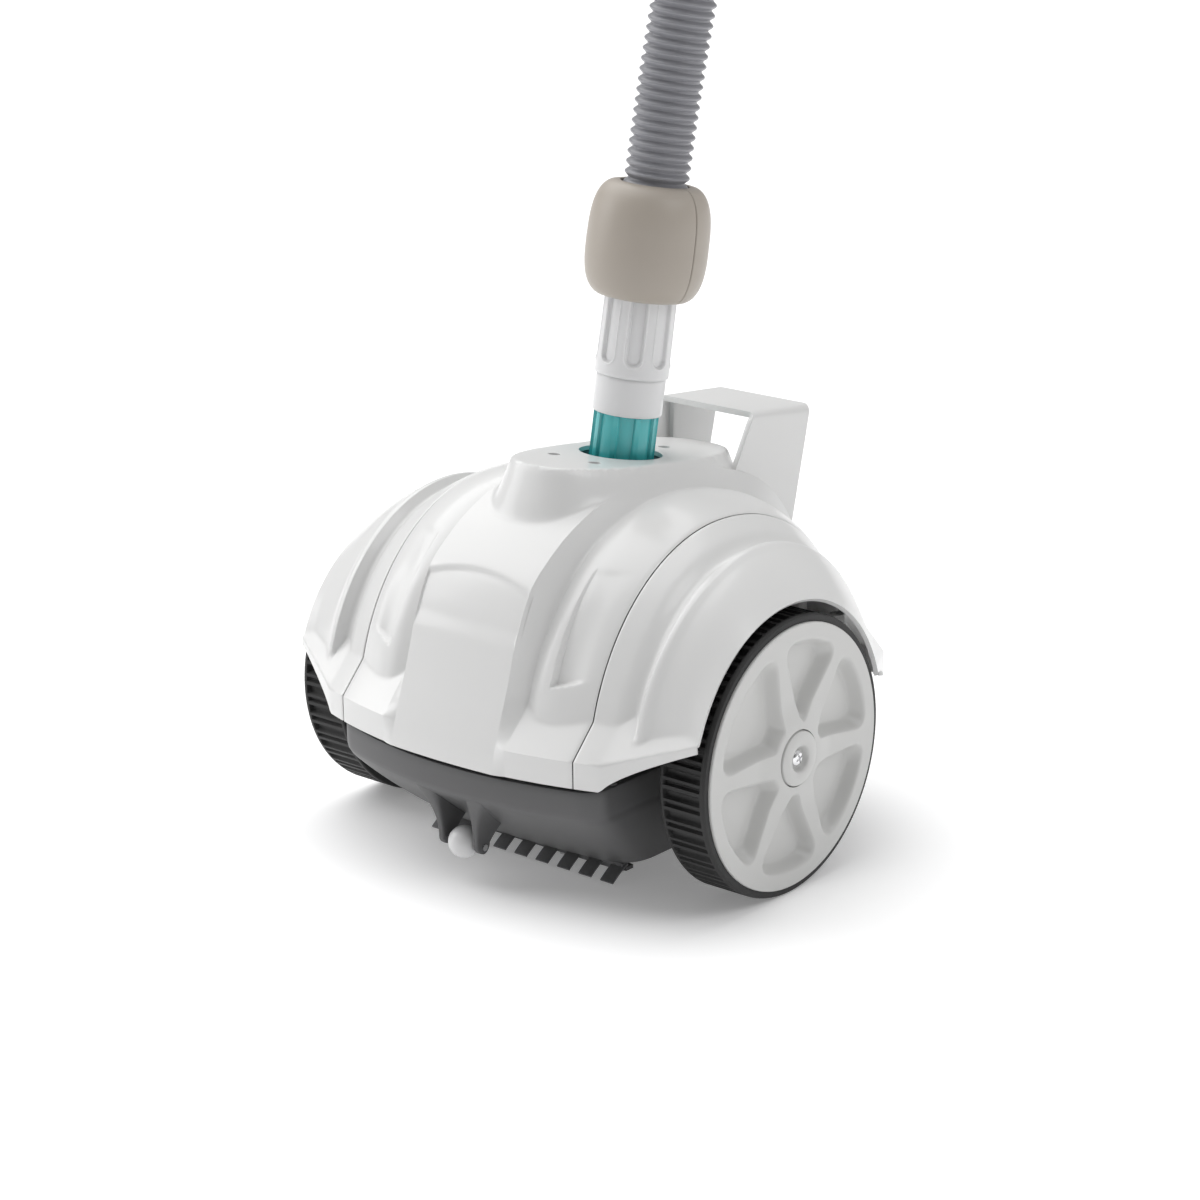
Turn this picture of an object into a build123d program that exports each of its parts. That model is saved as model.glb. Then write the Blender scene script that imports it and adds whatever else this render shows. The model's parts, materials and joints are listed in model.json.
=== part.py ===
"""Suction-side automatic pool cleaner: two driven wheels, a turbine drive and a leader hose.

Frame: +Z up from the floor, -Y is the front, and the wheels' axles lie along X. The pieces are drawn
with Y = 0 at the axles, then moved so that the origin is on the floor below the body's middle.
"""
from math import acos, atan2, cos, degrees, pi, radians, sin, sqrt, tan
import os

from build123d import *

# ---------------------------------------------------------------- driving dimensions (mm)
WALL = 2.6                    # thickness of every white cover
AXLE_Z = 83.0                 # height of the wheel axles, so also the tyre's outer radius
TYRE_R = 83.0
TYRE_WIDTH = 31.0
RIM_R = 78.4
RIM_FACE_X = 154.5            # outer face of the rim's spokes
SPOKE_ANGLES = (-4, 52, 103, 178, 238, 294)     # from the rear towards the top
SEAM_X = 87.4                 # joint between the centre cover and a fender
SEAM_GAP = 0.6
COVER_BOTTOM_Z = 82.0
SKIRT_TOP_Z = 98.0            # top edge of the upright band round the cover
SKIRT_FOOT_Z = 114.0          # where the band's sloping shelf meets the dome
FENDER_X = 150.0              # outer edge of the wheel arch
ARCH_R = 87.5

BASE_TOP_Z = 80.0
BASE_CHIN_Z = 62.0            # lower edge of the base's upright front
BASE_FLOOR_Z = 12.0
BASE_WALL = 3.0
BASE_HALF = 98.0              # half width of the base, inside the wheels
FLOOR_HALF = 80.0

NECK_Y, NECK_Z, NECK_TILT = 33.0, 228.5, 7.0      # hole centre on the neck plate, leaning back
NECK_HOLE_R = 24.8
NECK_SCREWS = ((-15.3, -43.1), (15.3, -43.1), (0.0, 41.3))
PIVOT_DEPTH = 15.0            # spigot's tilt pivot below the neck plate
SPIGOT_LEAN = 3.0             # the hose's lean towards +X at rest
SPIGOT_R = 18.4
SPIGOT_RIBS, RIB_TURN = 9, 10.5         # ribs round the spigot, azimuth of the first
CUFF_FLUTES, FLUTE_TURN = 8, -7.0       # grooves round the cuff, azimuth of the first
FLOAT_SEAM = -2.0                       # azimuth of the seam between the float's halves

HANDLE_HALF = 37.0
HANDLE_T = 3.6

HOSE_R = 19.0
HOSE_ROUTE = ((0.0, 115.0), (0.8, 192.0), (3.9, 271.0), (9.6, 350.0))   # (lean, height) over the pivot
FLOAT_R, FLOAT_LOW, FLOAT_HIGH = 35.8, 107.5, 175.0

MODULE = 1.0
PINION_TEETH, LARGE_TEETH, AXLE_TEETH = 12, 48, 60
TOOTH_THINNING = 0.10         # taken off each tooth for backlash
LARGE_ADDENDUM = 0.75         # stubbed so the small pinions' roots stay clear
TURBINE_Y, TURBINE_Z = 32.0, 60.0
CHAMBER_R = 38.0
CHAMBER_HALF = 36.5
PINION_X, LARGE_X, SMALL_X, AXLE_GEAR_X = (43.0, 51.5), (43.8, 50.8), (51.0, 60.0), (52.2, 59.2)
CASE_X = (39.6, 63.0)         # gear case, wall to rim
SHAFT_R, GEAR_PIN_R, AXLE_R = 3.0, 2.5, 5.0
RUNNING = 0.05                # radial clearance of a running fit

BODY_MIDDLE_Y = 23.5          # the cover's middle, behind the axles

BALL_Y, BALL_Z, BALL_R, BALL_PIN_R = -109.0, 26.4, 9.5, 2.0

COMB_PITCH, COMB_FINGER, COMB_FINGERS = 16.4, 9.6, 9
COMB_ROOT_Y, COMB_TIP_Y, COMB_TIP_Z = -47.0, -60.5, 1.2

COVER_SCREWS = ((58.0, -92.0), (92.4, -90.0), (58.0, 135.0), (92.4, 126.0))   # mirrored in X

MOUTH_HALF, MOUTH_Y = 33.0, (-22.0, 27.0)         # intake mouth in the floor

PARTS = {}


def keep(name, shape):
    """Register a finished sub-part under its node name."""
    PARTS[name] = shape


def box(x0, x1, y0, y1, z0, z1):
    """A box between two corners."""
    return Pos((x0 + x1) / 2, (y0 + y1) / 2, (z0 + z1) / 2) * Box(x1 - x0, y1 - y0, z1 - z0)


def rod(radius, x0, x1, y=0.0, z=0.0):
    """A cylinder along X."""
    return Pos((x0 + x1) / 2, y, z) * Rot(0, 90, 0) * Cylinder(radius, abs(x1 - x0))


def post(radius, z0, z1, x=0.0, y=0.0):
    """A cylinder along Z."""
    return Pos(x, y, (z0 + z1) / 2) * Cylinder(radius, z1 - z0)


def tube(outer, inner, x0, x1, y=0.0, z=0.0):
    """A tube along X."""
    return rod(outer, x0, x1, y, z) - rod(inner, x0 - 1, x1 + 1, y, z)


def sleeve(outer, inner, z0, z1):
    """A tube along Z."""
    return post(outer, z0, z1) - post(inner, z0 - 1, z1 + 1)


def other_side(shape):
    """The same piece on the -X side."""
    return mirror(shape, about=Plane.YZ)


def spun(points, angle=360):
    """Turn an (r, z) outline about Z."""
    return revolve(Plane.XZ * Pos(0, 0) * make_face(Polyline(*points, close=True)), Axis.Z, angle)


# ---------------------------------------------------------------- cover surface
# Side profile at each station across the body: x, centre y, front half, rear half, height, fullness.
DOME = (
    (0.0, 15.0, 143.0, 160.0, 142.0, 2.2),
    (38.0, 15.0, 141.0, 158.0, 141.5, 2.2),
    (62.0, 15.0, 130.0, 146.0, 136.0, 2.12),
    (87.4, 15.0, 118.0, 130.0, 126.0, 2.03),
    (112.0, 11.0, 112.0, 116.0, 117.0, 2.0),
    (130.0, 6.0, 104.0, 107.0, 108.0, 2.0),
    (142.0, 3.0, 96.0, 98.0, 98.5, 2.0),
    (150.0, 1.0, 90.5, 90.5, 91.5, 2.0),
)


def dome_section(x, centre, front, rear, height, fullness, inset, foot):
    """Closed side profile of the dome at one station."""
    crown = []
    for step in range(13):
        turn = pi * step / 12
        reach = abs(cos(turn)) ** (2 / fullness) * ((front if turn < pi / 2 else rear) - inset)
        rise = sin(turn) ** (2 / fullness) * (height - inset)
        crown.append((x, centre - reach if turn < pi / 2 else centre + reach, COVER_BOTTOM_Z + rise))
    start, end = crown[0], crown[-1]
    edges = [Spline(*crown, tangents=((0, 0, 1), (0, 0, -1))),
             Line(end, (x, end[1], foot)),
             Line((x, end[1], foot), (x, start[1], foot)),
             Line((x, start[1], foot), start)]
    return Face(Wire(edges))


def dome(inset=0.0, foot=COVER_BOTTOM_Z - 0.5, reach=FENDER_X):
    """The body's crowned top as a solid, lofted across the stations."""
    rows = [(min(row[0], reach), *row[1:]) for row in DOME]
    left = [(-row[0], *row[1:]) for row in reversed(rows[1:])]
    return loft([dome_section(*row, inset, foot) for row in left + rows])


def skirt_outline(z, inset=0.0):
    """Plan outline of the cover's lower edge."""
    corner, arch, rear = (103 - inset, -111.5 + inset), (150 - inset, 84.0), (110 - inset, 152 - inset)
    edges = [ThreePointArc((-corner[0], corner[1], z), (0, -130 + inset, z), (corner[0], corner[1], z)),
             Line((corner[0], corner[1], z), (arch[0], -arch[1], z)),
             Line((arch[0], -arch[1], z), (arch[0], arch[1], z)),
             Line((arch[0], arch[1], z), (rear[0], rear[1], z)),
             ThreePointArc((rear[0], rear[1], z), (0, 177 - inset, z), (-rear[0], rear[1], z)),
             Line((-rear[0], rear[1], z), (-arch[0], arch[1], z)),
             Line((-arch[0], arch[1], z), (-arch[0], -arch[1], z)),
             Line((-arch[0], -arch[1], z), (-corner[0], corner[1], z))]
    return Face(Wire(edges))


def skirt(inset=0.0, low=COVER_BOTTOM_Z):
    """Upright band and sloping shelf round the foot of the cover."""
    band = extrude(skirt_outline(low, inset), SKIRT_TOP_Z - low)
    shelf = loft([skirt_outline(SKIRT_TOP_Z, inset), skirt_outline(SKIRT_FOOT_Z, inset + 15)], ruled=True)
    return band + shelf


NECK = Pos(0, NECK_Y, NECK_Z) * Rot(-NECK_TILT, 0, 0)      # Z along the neck, 0 on the plate


def plate_outline(z, half, front, rear):
    """Long rounded outline of the neck plate, in the neck's own frame."""
    run = [(0, front), (half * 0.78, front + 9), (half, front + 32),
           (half, rear - 26), (half * 0.62, rear - 6), (0, rear)]
    loop = run + [(-x, y) for x, y in reversed(run[1:-1])]
    return Face(Wire([Spline(*[(x, y, z) for x, y in loop], periodic=True)]))


def neck_boss(inset=0.0, top=0.0):
    """Raised neck platform that carries the hose joint."""
    upper = plate_outline(top, 33 - inset, -79 + inset, 82 - inset)
    lower = plate_outline(-34, 41 - inset, -96 + inset, 92 - inset)
    return NECK * loft([lower, upper], ruled=True)


def screw_boss(x, y, limit):
    """Blind boss inside a cover for one screw from below."""
    return post(4.6, BASE_TOP_Z + 3, NECK_Z, x, y) & limit


def covers():
    """Centre cover and the two fenders, cut from one crowned shell."""
    crown, inside = dome(), dome(WALL, 60)
    outer = crown + skirt()
    hollow = inside + skirt(WALL, 60)
    shell = outer - hollow
    for side in (1, -1):
        shell -= rod(ARCH_R, side * 102, side * 160, 0, AXLE_Z)
    shell -= box(-160, 160, -200, 200, 40, COVER_BOTTOM_Z)
    centre = shell & box(-SEAM_X + SEAM_GAP / 2, SEAM_X - SEAM_GAP / 2, -200, 200, 40, 300)
    centre = centre - neck_boss(WALL + 0.2, -3.2) + (neck_boss() - neck_boss(WALL, -3.2) - inside)
    centre = centre - NECK * post(NECK_HOLE_R, -8, 4)
    for x, y in NECK_SCREWS:
        centre = centre + NECK * post(6.5, -6, -3, x, y)
        centre = centre - NECK * post(3.7, -4, 4, x, y) - NECK * post(2.1, -7, 1, x, y)
    bosses = [screw_boss(side * x, y, crown) - post(1.9, BASE_TOP_Z, BASE_TOP_Z + 26, side * x, y)
              for x, y in COVER_SCREWS for side in (1, -1)]
    fender = shell & box(SEAM_X + SEAM_GAP / 2, 200, -200, 200, 40, 300)
    for boss in bosses:
        middle = boss.center().X
        if abs(middle) < SEAM_X:
            centre = centre + boss
        elif middle > 0:
            fender = fender + boss
    for side in (1, -1):
        centre = centre - handle_tongues(side, 0.25)
    keep("center_cover", centre)
    keep("right_fender", fender)
    keep("left_fender", other_side(fender))


# ---------------------------------------------------------------- base
def base_outline(z, half, front, front_corner, rear_corner, rear, inset=0.0):
    """Plan outline of the base: bowed front and rear, straight sides."""
    w, a, b = half - inset, front_corner + inset, rear_corner - inset
    edges = [ThreePointArc((-w, a, z), (0, front + inset, z), (w, a, z)),
             Line((w, a, z), (w, b, z)),
             ThreePointArc((w, b, z), (0, rear - inset, z), (-w, b, z)),
             Line((-w, b, z), (-w, a, z))]
    return Face(Wire(edges))


def base_block(inset=0.0, floor=BASE_FLOOR_Z, top=BASE_TOP_Z):
    """The base as a solid: an upright rim over sloping chins."""
    upper = (BASE_HALF, -127.0, -108.0, 148.0, 172.0)
    lower = (FLOOR_HALF, -59.0, -52.0, 108.0, 114.0)
    rim = extrude(base_outline(BASE_CHIN_Z, *upper, inset), top - BASE_CHIN_Z)
    chin = loft([base_outline(BASE_CHIN_Z, *upper, inset), base_outline(floor, *lower, inset)], ruled=True)
    return rim + chin


def ball_arm(x0, x1):
    """Tapering arm from the chin down to the guide ball's pin."""
    points = [(-124, 62), (-90, 38), (-101, 29), (-106, 22.5), (-112, 22.5), (-114, 28), (-119, 44)]
    outline = Plane.YZ * make_face(Polyline(*points, close=True))
    return Pos(x0, 0, 0) * extrude(outline, x1 - x0)


def base_tray():
    """Dark lower housing with wheel cheeks, ball arms, screw towers and rear skids."""
    tray = base_block() - base_block(BASE_WALL, BASE_FLOOR_Z + BASE_WALL, BASE_TOP_Z + 1)
    for side in (1, -1):
        cheek = rod(34, side * (BASE_HALF - 4), side * BASE_HALF, 0, AXLE_Z)
        cheek += box(*sorted((side * (BASE_HALF - 4), side * BASE_HALF)), -50, 50, 64, 84)
        cheek += rod(13, side * (BASE_HALF - 9), side * (BASE_HALF + 6), 0, AXLE_Z)
        tray = tray + cheek - rod(8.05, side * 80, side * 110, 0, AXLE_Z)
        arm = (15.5, 11.2) if side < 0 else (11.2, 15.5)
        tray += ball_arm(side * arm[0], side * arm[1])
        skid = box(*sorted((side * 52, side * 58)), 92, 106, 1.2, BASE_FLOOR_Z + 1)
        tray += fillet(skid.edges().filter_by(Axis.X).group_by(Axis.Z)[0], 5)
    towers = [(side * x, y) for x, y in COVER_SCREWS for side in (1, -1)]
    for x, y in towers:
        tray += post(5.8, 20, BASE_TOP_Z, x, y) & base_block(0.2, BASE_FLOOR_Z + 0.2, BASE_TOP_Z)
        tray -= post(4.4, 0, 68, x, y) + post(2.1, 60, 90, x, y)
    tray -= box(-MOUTH_HALF - 1, MOUTH_HALF + 1, MOUTH_Y[0] - 1, MOUTH_Y[1] + 1, 0, 20)
    tray -= rod(BALL_PIN_R, -15.0, 20, BALL_Y, BALL_Z)
    for x, y in intake_holes() + comb_holes():
        tray -= post(1.6, 5, 20, x, y)
    keep("base_tray", tray)


def intake_holes():
    return [(x, y) for x in (-41.0, 41.0) for y in (-29.0, 34.0)]


def comb_holes():
    return [(x, COMB_ROOT_Y + 1.0) for x in (-62.0, -22.0, 22.0, 62.0)]


def cover_screws():
    """Long screws from under the base into the covers' bosses."""
    screws = []
    for x, y in COVER_SCREWS:
        for side in (1, -1):
            screws.append(post(3.9, 65.0, 67.9, side * x, y) + post(1.8, 66, 98, side * x, y)
                          - Pos(side * x, y, 65.6) * Box(5.2, 1.2, 1.4))
    keep("cover_screws", Compound(screws))


def underside():
    """Intake frame, scrubbing comb, its clamp bar and their screws."""
    frame = box(-47, 47, -35, 40, 8.9, 11.9)
    frame = fillet(frame.edges().filter_by(Axis.Z), 5)
    frame -= box(-MOUTH_HALF, MOUTH_HALF, *MOUTH_Y, 0, 20)
    for x, y in intake_holes():
        frame -= post(1.6, 0, 20, x, y) + post(3.1, 0, 10.4, x, y)
    keep("intake_frame", frame)
    keep("intake_screws", Compound([post(3.0, 9.0, 10.3, x, y) + post(1.5, 10, 14.9, x, y)
                                    - Pos(x, y, 9.2) * Box(4, 0.9, 0.9) for x, y in intake_holes()]))
    half = COMB_PITCH * (COMB_FINGERS - 1) / 2 + COMB_FINGER / 2
    comb = box(-half, half, COMB_ROOT_Y - 3.5, COMB_ROOT_Y + 5.5, 9.4, 11.9)
    root = COMB_ROOT_Y - 1.2
    outer = ThreePointArc((root, 10.6), (COMB_ROOT_Y - 8.5, 8.6), (COMB_TIP_Y - 0.8, COMB_TIP_Z + 0.2))
    inner = ThreePointArc((COMB_TIP_Y + 1.9, COMB_TIP_Z), (COMB_ROOT_Y - 7.0, 6.2), (root, 9.5))
    profile = Wire([outer, Line(outer @ 1, inner @ 0), inner, Line(inner @ 1, outer @ 0)])
    finger = extrude(Plane.YZ * make_face(profile), COMB_FINGER / 2, both=True)
    for number in range(COMB_FINGERS):
        comb += Pos(COMB_PITCH * (number - (COMB_FINGERS - 1) / 2), 0, 0) * finger
    clamp = box(-half, half, COMB_ROOT_Y - 1.0, COMB_ROOT_Y + 5.5, 6.9, 9.3)
    for x, y in comb_holes():
        comb -= post(1.6, 0, 20, x, y)
        clamp -= post(1.6, 0, 20, x, y)
    keep("scrubber_comb", comb)
    keep("comb_clamp", clamp)
    keep("comb_screws", Compound([post(2.8, 5.2, 6.8, x, y) + post(1.5, 6.5, 14.9, x, y)
                                  - Pos(x, y, 5.5) * Box(3.8, 0.9, 0.9) for x, y in comb_holes()]))


def guide_ball():
    """Ball that rolls on its pin between the chin's two arms."""
    ball = Pos(0, BALL_Y, BALL_Z) * Sphere(BALL_R) - rod(BALL_PIN_R + RUNNING, -12, 12, BALL_Y, BALL_Z)
    ball -= box(-12, -8.9, -130, -90, 10, 40) + box(8.9, 12, -130, -90, 10, 40)
    keep("guide_ball", ball)
    keep("ball_pin", rod(BALL_PIN_R - 0.02, -14.8, 16.2, BALL_Y, BALL_Z))


# ---------------------------------------------------------------- gears
def involute(radius, base):
    """Involute angle at a radius."""
    slope = acos(min(1.0, base / radius))
    return tan(slope) - slope


def gear(teeth, addendum, x0, x1, centre, phase, bore):
    """Spur gear along X, with one tooth's middle at the phase angle in the YZ plane."""
    pitch = MODULE * teeth / 2
    base, tip, root = pitch * cos(radians(20)), pitch + MODULE * addendum, pitch - MODULE * 1.2
    half = pi / (2 * teeth) - TOOTH_THINNING / (2 * pitch)
    radii = [max(base, root) + (tip - max(base, root)) * step / 4 for step in range(5)]
    flank = [(root, half + involute(pitch, base))] + \
            [(r, half + involute(pitch, base) - involute(r, base)) for r in radii]
    points = []
    for tooth in range(teeth):
        middle = radians(phase) + 2 * pi * tooth / teeth
        side = [(r, middle - a) for r, a in flank] + [(r, middle + a) for r, a in reversed(flank)]
        points += [(r * cos(a), r * sin(a)) for r, a in side]
    profile = Plane.YZ * Pos(*centre) * make_face(Polyline(*points, close=True))
    return Pos(x0, 0, 0) * extrude(profile, x1 - x0) - rod(bore, x0 - 1, x1 + 1, *centre)


def gear_centre():
    """The compound gear's centre: in mesh with both the turbine pinion and the axle gear."""
    near = MODULE * (PINION_TEETH + AXLE_TEETH) / 2
    far = MODULE * (PINION_TEETH + LARGE_TEETH) / 2
    dy, dz = TURBINE_Y, TURBINE_Z - AXLE_Z
    span = sqrt(dy * dy + dz * dz)
    along = (near ** 2 - far ** 2 + span ** 2) / (2 * span)
    across = sqrt(near ** 2 - along ** 2)
    return (along * dy - across * dz) / span, AXLE_Z + (along * dz + across * dy) / span


COMPOUND = gear_centre()
DRIVE_LINE = degrees(atan2(COMPOUND[1] - TURBINE_Z, COMPOUND[0] - TURBINE_Y))    # turbine to compound
AXLE_LINE = degrees(atan2(AXLE_Z - COMPOUND[1], -COMPOUND[0]))                   # compound to axle


def drive_train():
    """Turbine with its shaft, and one reduction train on each side."""
    centre = (TURBINE_Y, TURBINE_Z)
    blades = rod(9, -34, 34, *centre)
    for number in range(8):
        blade = box(-34, 34, 7, 35.5, -1.3, 1.3)
        blades += Pos(0, *centre) * Rot(45 * number + 10, 0, 0) * blade
    blades -= rod(SHAFT_R, -40, 40, *centre)
    keep("turbine_rotor", blades)
    keep("turbine_shaft", rod(SHAFT_R - 0.02, -54, 54, *centre))
    pinion = gear(PINION_TEETH, 0.95, *PINION_X, centre, DRIVE_LINE, SHAFT_R)
    large = gear(LARGE_TEETH, LARGE_ADDENDUM, *LARGE_X, COMPOUND,
                 DRIVE_LINE + 180 + 180 / LARGE_TEETH, GEAR_PIN_R + RUNNING)
    small = gear(PINION_TEETH, 0.95, *SMALL_X, COMPOUND, AXLE_LINE, GEAR_PIN_R + RUNNING)
    link = tube(5.0, GEAR_PIN_R + RUNNING, LARGE_X[1] - 0.5, SMALL_X[0] + 0.5, *COMPOUND)
    final = gear(AXLE_TEETH, LARGE_ADDENDUM, *AXLE_GEAR_X, (0, AXLE_Z),
                 AXLE_LINE + 180 + 180 / AXLE_TEETH, AXLE_R)
    final += tube(9, AXLE_R, AXLE_GEAR_X[0] - 3, AXLE_GEAR_X[0] + 0.5, 0, AXLE_Z)
    for side, place in (("right", lambda piece: piece), ("left", other_side)):
        keep(f"{side}_pinion", place(pinion))
        keep(f"{side}_compound_gear", place(large + small + link))
        keep(f"{side}_axle_gear", place(final))


CASE_CIRCLES = ((0.0, AXLE_Z, 34.0), (*COMPOUND, 28.0), (TURBINE_Y, TURBINE_Z, 13.0))
CASE_LUGS = ((-29.2, 62.4), (-17.9, 114.0), (54.6, 112.7), (42.2, 47.8))


def case_block(x0, x1, inset=0.0):
    """Solid of the gear case: the convex outline round the three gear centres."""
    points = []
    for step in range(60):
        turn = 2 * pi * step / 60
        y, z, r = max(CASE_CIRCLES, key=lambda c: c[0] * cos(turn) + c[1] * sin(turn) + c[2])
        points.append((y + (r - inset) * cos(turn), z + (r - inset) * sin(turn)))
    return Pos(x0, 0, 0) * extrude(Plane.YZ * make_face(Polyline(*points, close=True)), x1 - x0)


def gear_cases():
    """Gear case, cover, pins, bushes and seals, one set on each side."""
    lid_x = CASE_X[1] + 0.1, CASE_X[1] + 2.9
    case = case_block(*CASE_X) + [rod(4.2, *CASE_X, y, z) for y, z in CASE_LUGS]
    case -= case_block(CASE_X[0] + 2.4, CASE_X[1] + 1, 2.2)
    case -= rod(6.05, 30, 60, TURBINE_Y, TURBINE_Z) + rod(GEAR_PIN_R, 30, 60, *COMPOUND)
    lid = case_block(*lid_x) + rod(11, lid_x[0], CASE_X[1] + 7, 0, AXLE_Z)
    lid = lid + [rod(4.2, *lid_x, y, z) for y, z in CASE_LUGS]
    lid -= rod(8.05, 60, 80, 0, AXLE_Z) + rod(GEAR_PIN_R, 60, 80, *COMPOUND)
    for y, z in CASE_LUGS:
        case -= rod(1.6, 30, 80, y, z)
        lid -= rod(1.6, 30, 80, y, z)
    screws = [rod(3.0, lid_x[1] + 0.1, lid_x[1] + 2, y, z) + rod(1.5, lid_x[1] - 14, lid_x[1] + 1, y, z)
              for y, z in CASE_LUGS]
    turbine_bush = tube(6.0, SHAFT_R + RUNNING, CHAMBER_HALF + 0.1, 42.6, TURBINE_Y, TURBINE_Z)
    bush = tube(8.0, AXLE_R + RUNNING, CASE_X[1] - 0.4, CASE_X[1] + 7, 0, AXLE_Z)
    bush += tube(8.0, AXLE_R + RUNNING, BASE_HALF - 9, BASE_HALF + 6, 0, AXLE_Z)
    seal = tube(12.5, AXLE_R + 0.4, BASE_HALF + 6.2, BASE_HALF + 9.2, 0, AXLE_Z)
    pin = rod(GEAR_PIN_R - 0.02, CASE_X[0] + 0.1, lid_x[1] - 0.1, *COMPOUND)
    for side, place in (("right", lambda piece: piece), ("left", other_side)):
        keep(f"{side}_gear_case", place(case))
        keep(f"{side}_gear_lid", place(lid))
        keep(f"{side}_axle_bushes", place(bush))
        keep(f"{side}_axle_seal", place(seal))
    keep("gear_lid_screws", Compound(screws + [other_side(screw) for screw in screws]))
    keep("gear_pins", Compound([pin, other_side(pin)]))
    keep("turbine_bushes", Compound([turbine_bush, other_side(turbine_bush)]))


# ---------------------------------------------------------------- water path
def water_path():
    """Turbine housing with its intake throat, and the duct up to the neck."""
    centre = (TURBINE_Y, TURBINE_Z)
    housing = rod(CHAMBER_R + 2.5, -CHAMBER_HALF - 2.5, CHAMBER_HALF + 2.5, *centre)
    housing += box(-36.5, 36.5, MOUTH_Y[0] - 2.5, MOUTH_Y[1] + 2.5, BASE_FLOOR_Z + 3.1, 52)
    duct_y = NECK_Y - 118 * sin(radians(NECK_TILT))
    housing += post(26, 60, 112, 0, duct_y)
    housing -= rod(CHAMBER_R, -CHAMBER_HALF, CHAMBER_HALF, *centre)
    housing -= box(-34, 34, *MOUTH_Y, 0, 50)
    housing -= post(23.4, 60, 120, 0, duct_y)
    housing -= rod(6.05, -50, 50, *centre)
    keep("turbine_housing", housing)
    duct = NECK * (sleeve(26, 23, -125, -28.2) + sleeve(33, 23, -31, -28.2))
    duct -= box(-40, 40, -40, 80, 60, 112.2)
    keep("suction_duct", duct)
    seal = NECK * sleeve(30, 26.2, -33.5, -31.2)
    keep("duct_seal", seal)


# ---------------------------------------------------------------- neck and hose
def neck_joint():
    """Swivel seat under the neck plate and the ring that turns in it."""
    seat = sleeve(33, 28.0 + RUNNING, -28, -3.4) + sleeve(30, 25.6, -6.2, -3.4)
    for x, y in NECK_SCREWS:
        reach = sqrt(x * x + y * y)
        turn = Rot(0, 0, degrees(atan2(y, x)))
        seat += turn * box(30.5, reach, -5, 5, -14, -6.2)
        seat += post(6.4, -18, -6.2, x, y)
    seat -= [post(1.9, -40, 0, x, y) for x, y in NECK_SCREWS]
    keep("swivel_seat", NECK * seat)
    screws = []
    for x, y in NECK_SCREWS:
        screw = post(3.5, -3.9, -1.9, x, y) + post(1.8, -16, -3, x, y)
        screw -= Pos(x, y, -2.0) * Box(4.6, 1.0, 1.2)
        screw -= Pos(x, y, -2.0) * Box(1.0, 4.6, 1.2)
        screws.append(NECK * screw)
    keep("neck_screws", Compound(screws))
    ring = sleeve(28.0, 24.1, -27.9, -6.5)
    ring -= Pos(0, 0, -PIVOT_DEPTH) * Rot(90, 0, 0) * Cylinder(3 + RUNNING, 70)
    keep("swivel_ring", NECK * ring)


HOSE = NECK * Pos(0, 0, -PIVOT_DEPTH) * Rot(0, SPIGOT_LEAN, 0)      # Z along the spigot, 0 at its pivot


def hose_spigot():
    """Ribbed spigot with a ball-shaped collar and two trunnions."""
    spigot = post(SPIGOT_R, -11.5, 60)
    rib = Pos(SPIGOT_R - 0.6, 0, 0) * box(-1.6, 1.6, -2.5, 2.5, 9, 39.4)
    for number in range(SPIGOT_RIBS):
        spigot += Rot(0, 0, RIB_TURN + 360 / SPIGOT_RIBS * number) * rib
    collar = Sphere(23.6) & box(-30, 30, -30, 30, -8.5, 8.5)
    spigot += collar
    spigot += Rot(90, 0, 0) * Cylinder(3, 2 * 27.4)
    spigot -= post(15.2, -20, 70)
    return spigot


def hose_line():
    """Cuff, float and leader hose above the neck, with the hose's far cuff."""
    keep("hose_spigot", HOSE * hose_spigot())
    keep("cuff_ring", HOSE * sleeve(20.9, SPIGOT_R + 0.1, 39.6, 62))
    plug = HOSE_R - 3.9
    cuff = spun([(21.9, 62.1), (21.3, 112), (19.2, 114), (plug, 114), (plug, 126), (13.4, 126), (13.4, 62.1)])
    flute = Pos(23.0, 0, 92) * Box(4.0, 7.5, 44)
    for number in range(CUFF_FLUTES):
        cuff -= Rot(0, 0, FLUTE_TURN + 360 / CUFF_FLUTES * number) * flute
    keep("hose_cuff", HOSE * cuff)
    mid = (FLOAT_LOW + FLOAT_HIGH) / 2
    shell = [(22.2, FLOAT_LOW), (28.5, FLOAT_LOW + 1.6), (33.3, FLOAT_LOW + 9), (35.2, FLOAT_LOW + 20),
             (FLOAT_R, mid), (35.2, FLOAT_HIGH - 20), (33.0, FLOAT_HIGH - 9), (28.0, FLOAT_HIGH - 1.6),
             (21.0, FLOAT_HIGH)]
    bore = [(21.0, FLOAT_HIGH - 1), (19.8, FLOAT_HIGH - 1), (19.8, 118), (22.2, 118)]
    outline = Plane.XZ * make_face([Spline(*shell), *Polyline(shell[-1], *bore, shell[0]).edges()])
    half = revolve(outline, Axis.Z, 179.4)
    keep("float_half_a", HOSE * Rot(0, 0, FLOAT_SEAM) * half)
    keep("float_half_b", HOSE * Rot(0, 0, FLOAT_SEAM + 180) * half)
    keep("leader_hose", HOSE * leader_hose())
    before, last = HOSE_ROUTE[-2:]
    tip_lean = degrees(atan2(last[0] - before[0], last[1] - before[1]))
    end = HOSE * Pos(last[0], 0, last[1]) * Rot(0, tip_lean, 0)
    far = spun([(16.0, 0.1), (22.0, 0.1), (22.0, 38), (20.4, 40), (20.4, 62), (17.6, 62), (17.6, 30),
                (16.0, 30)])
    keep("far_cuff", end * far)


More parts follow.
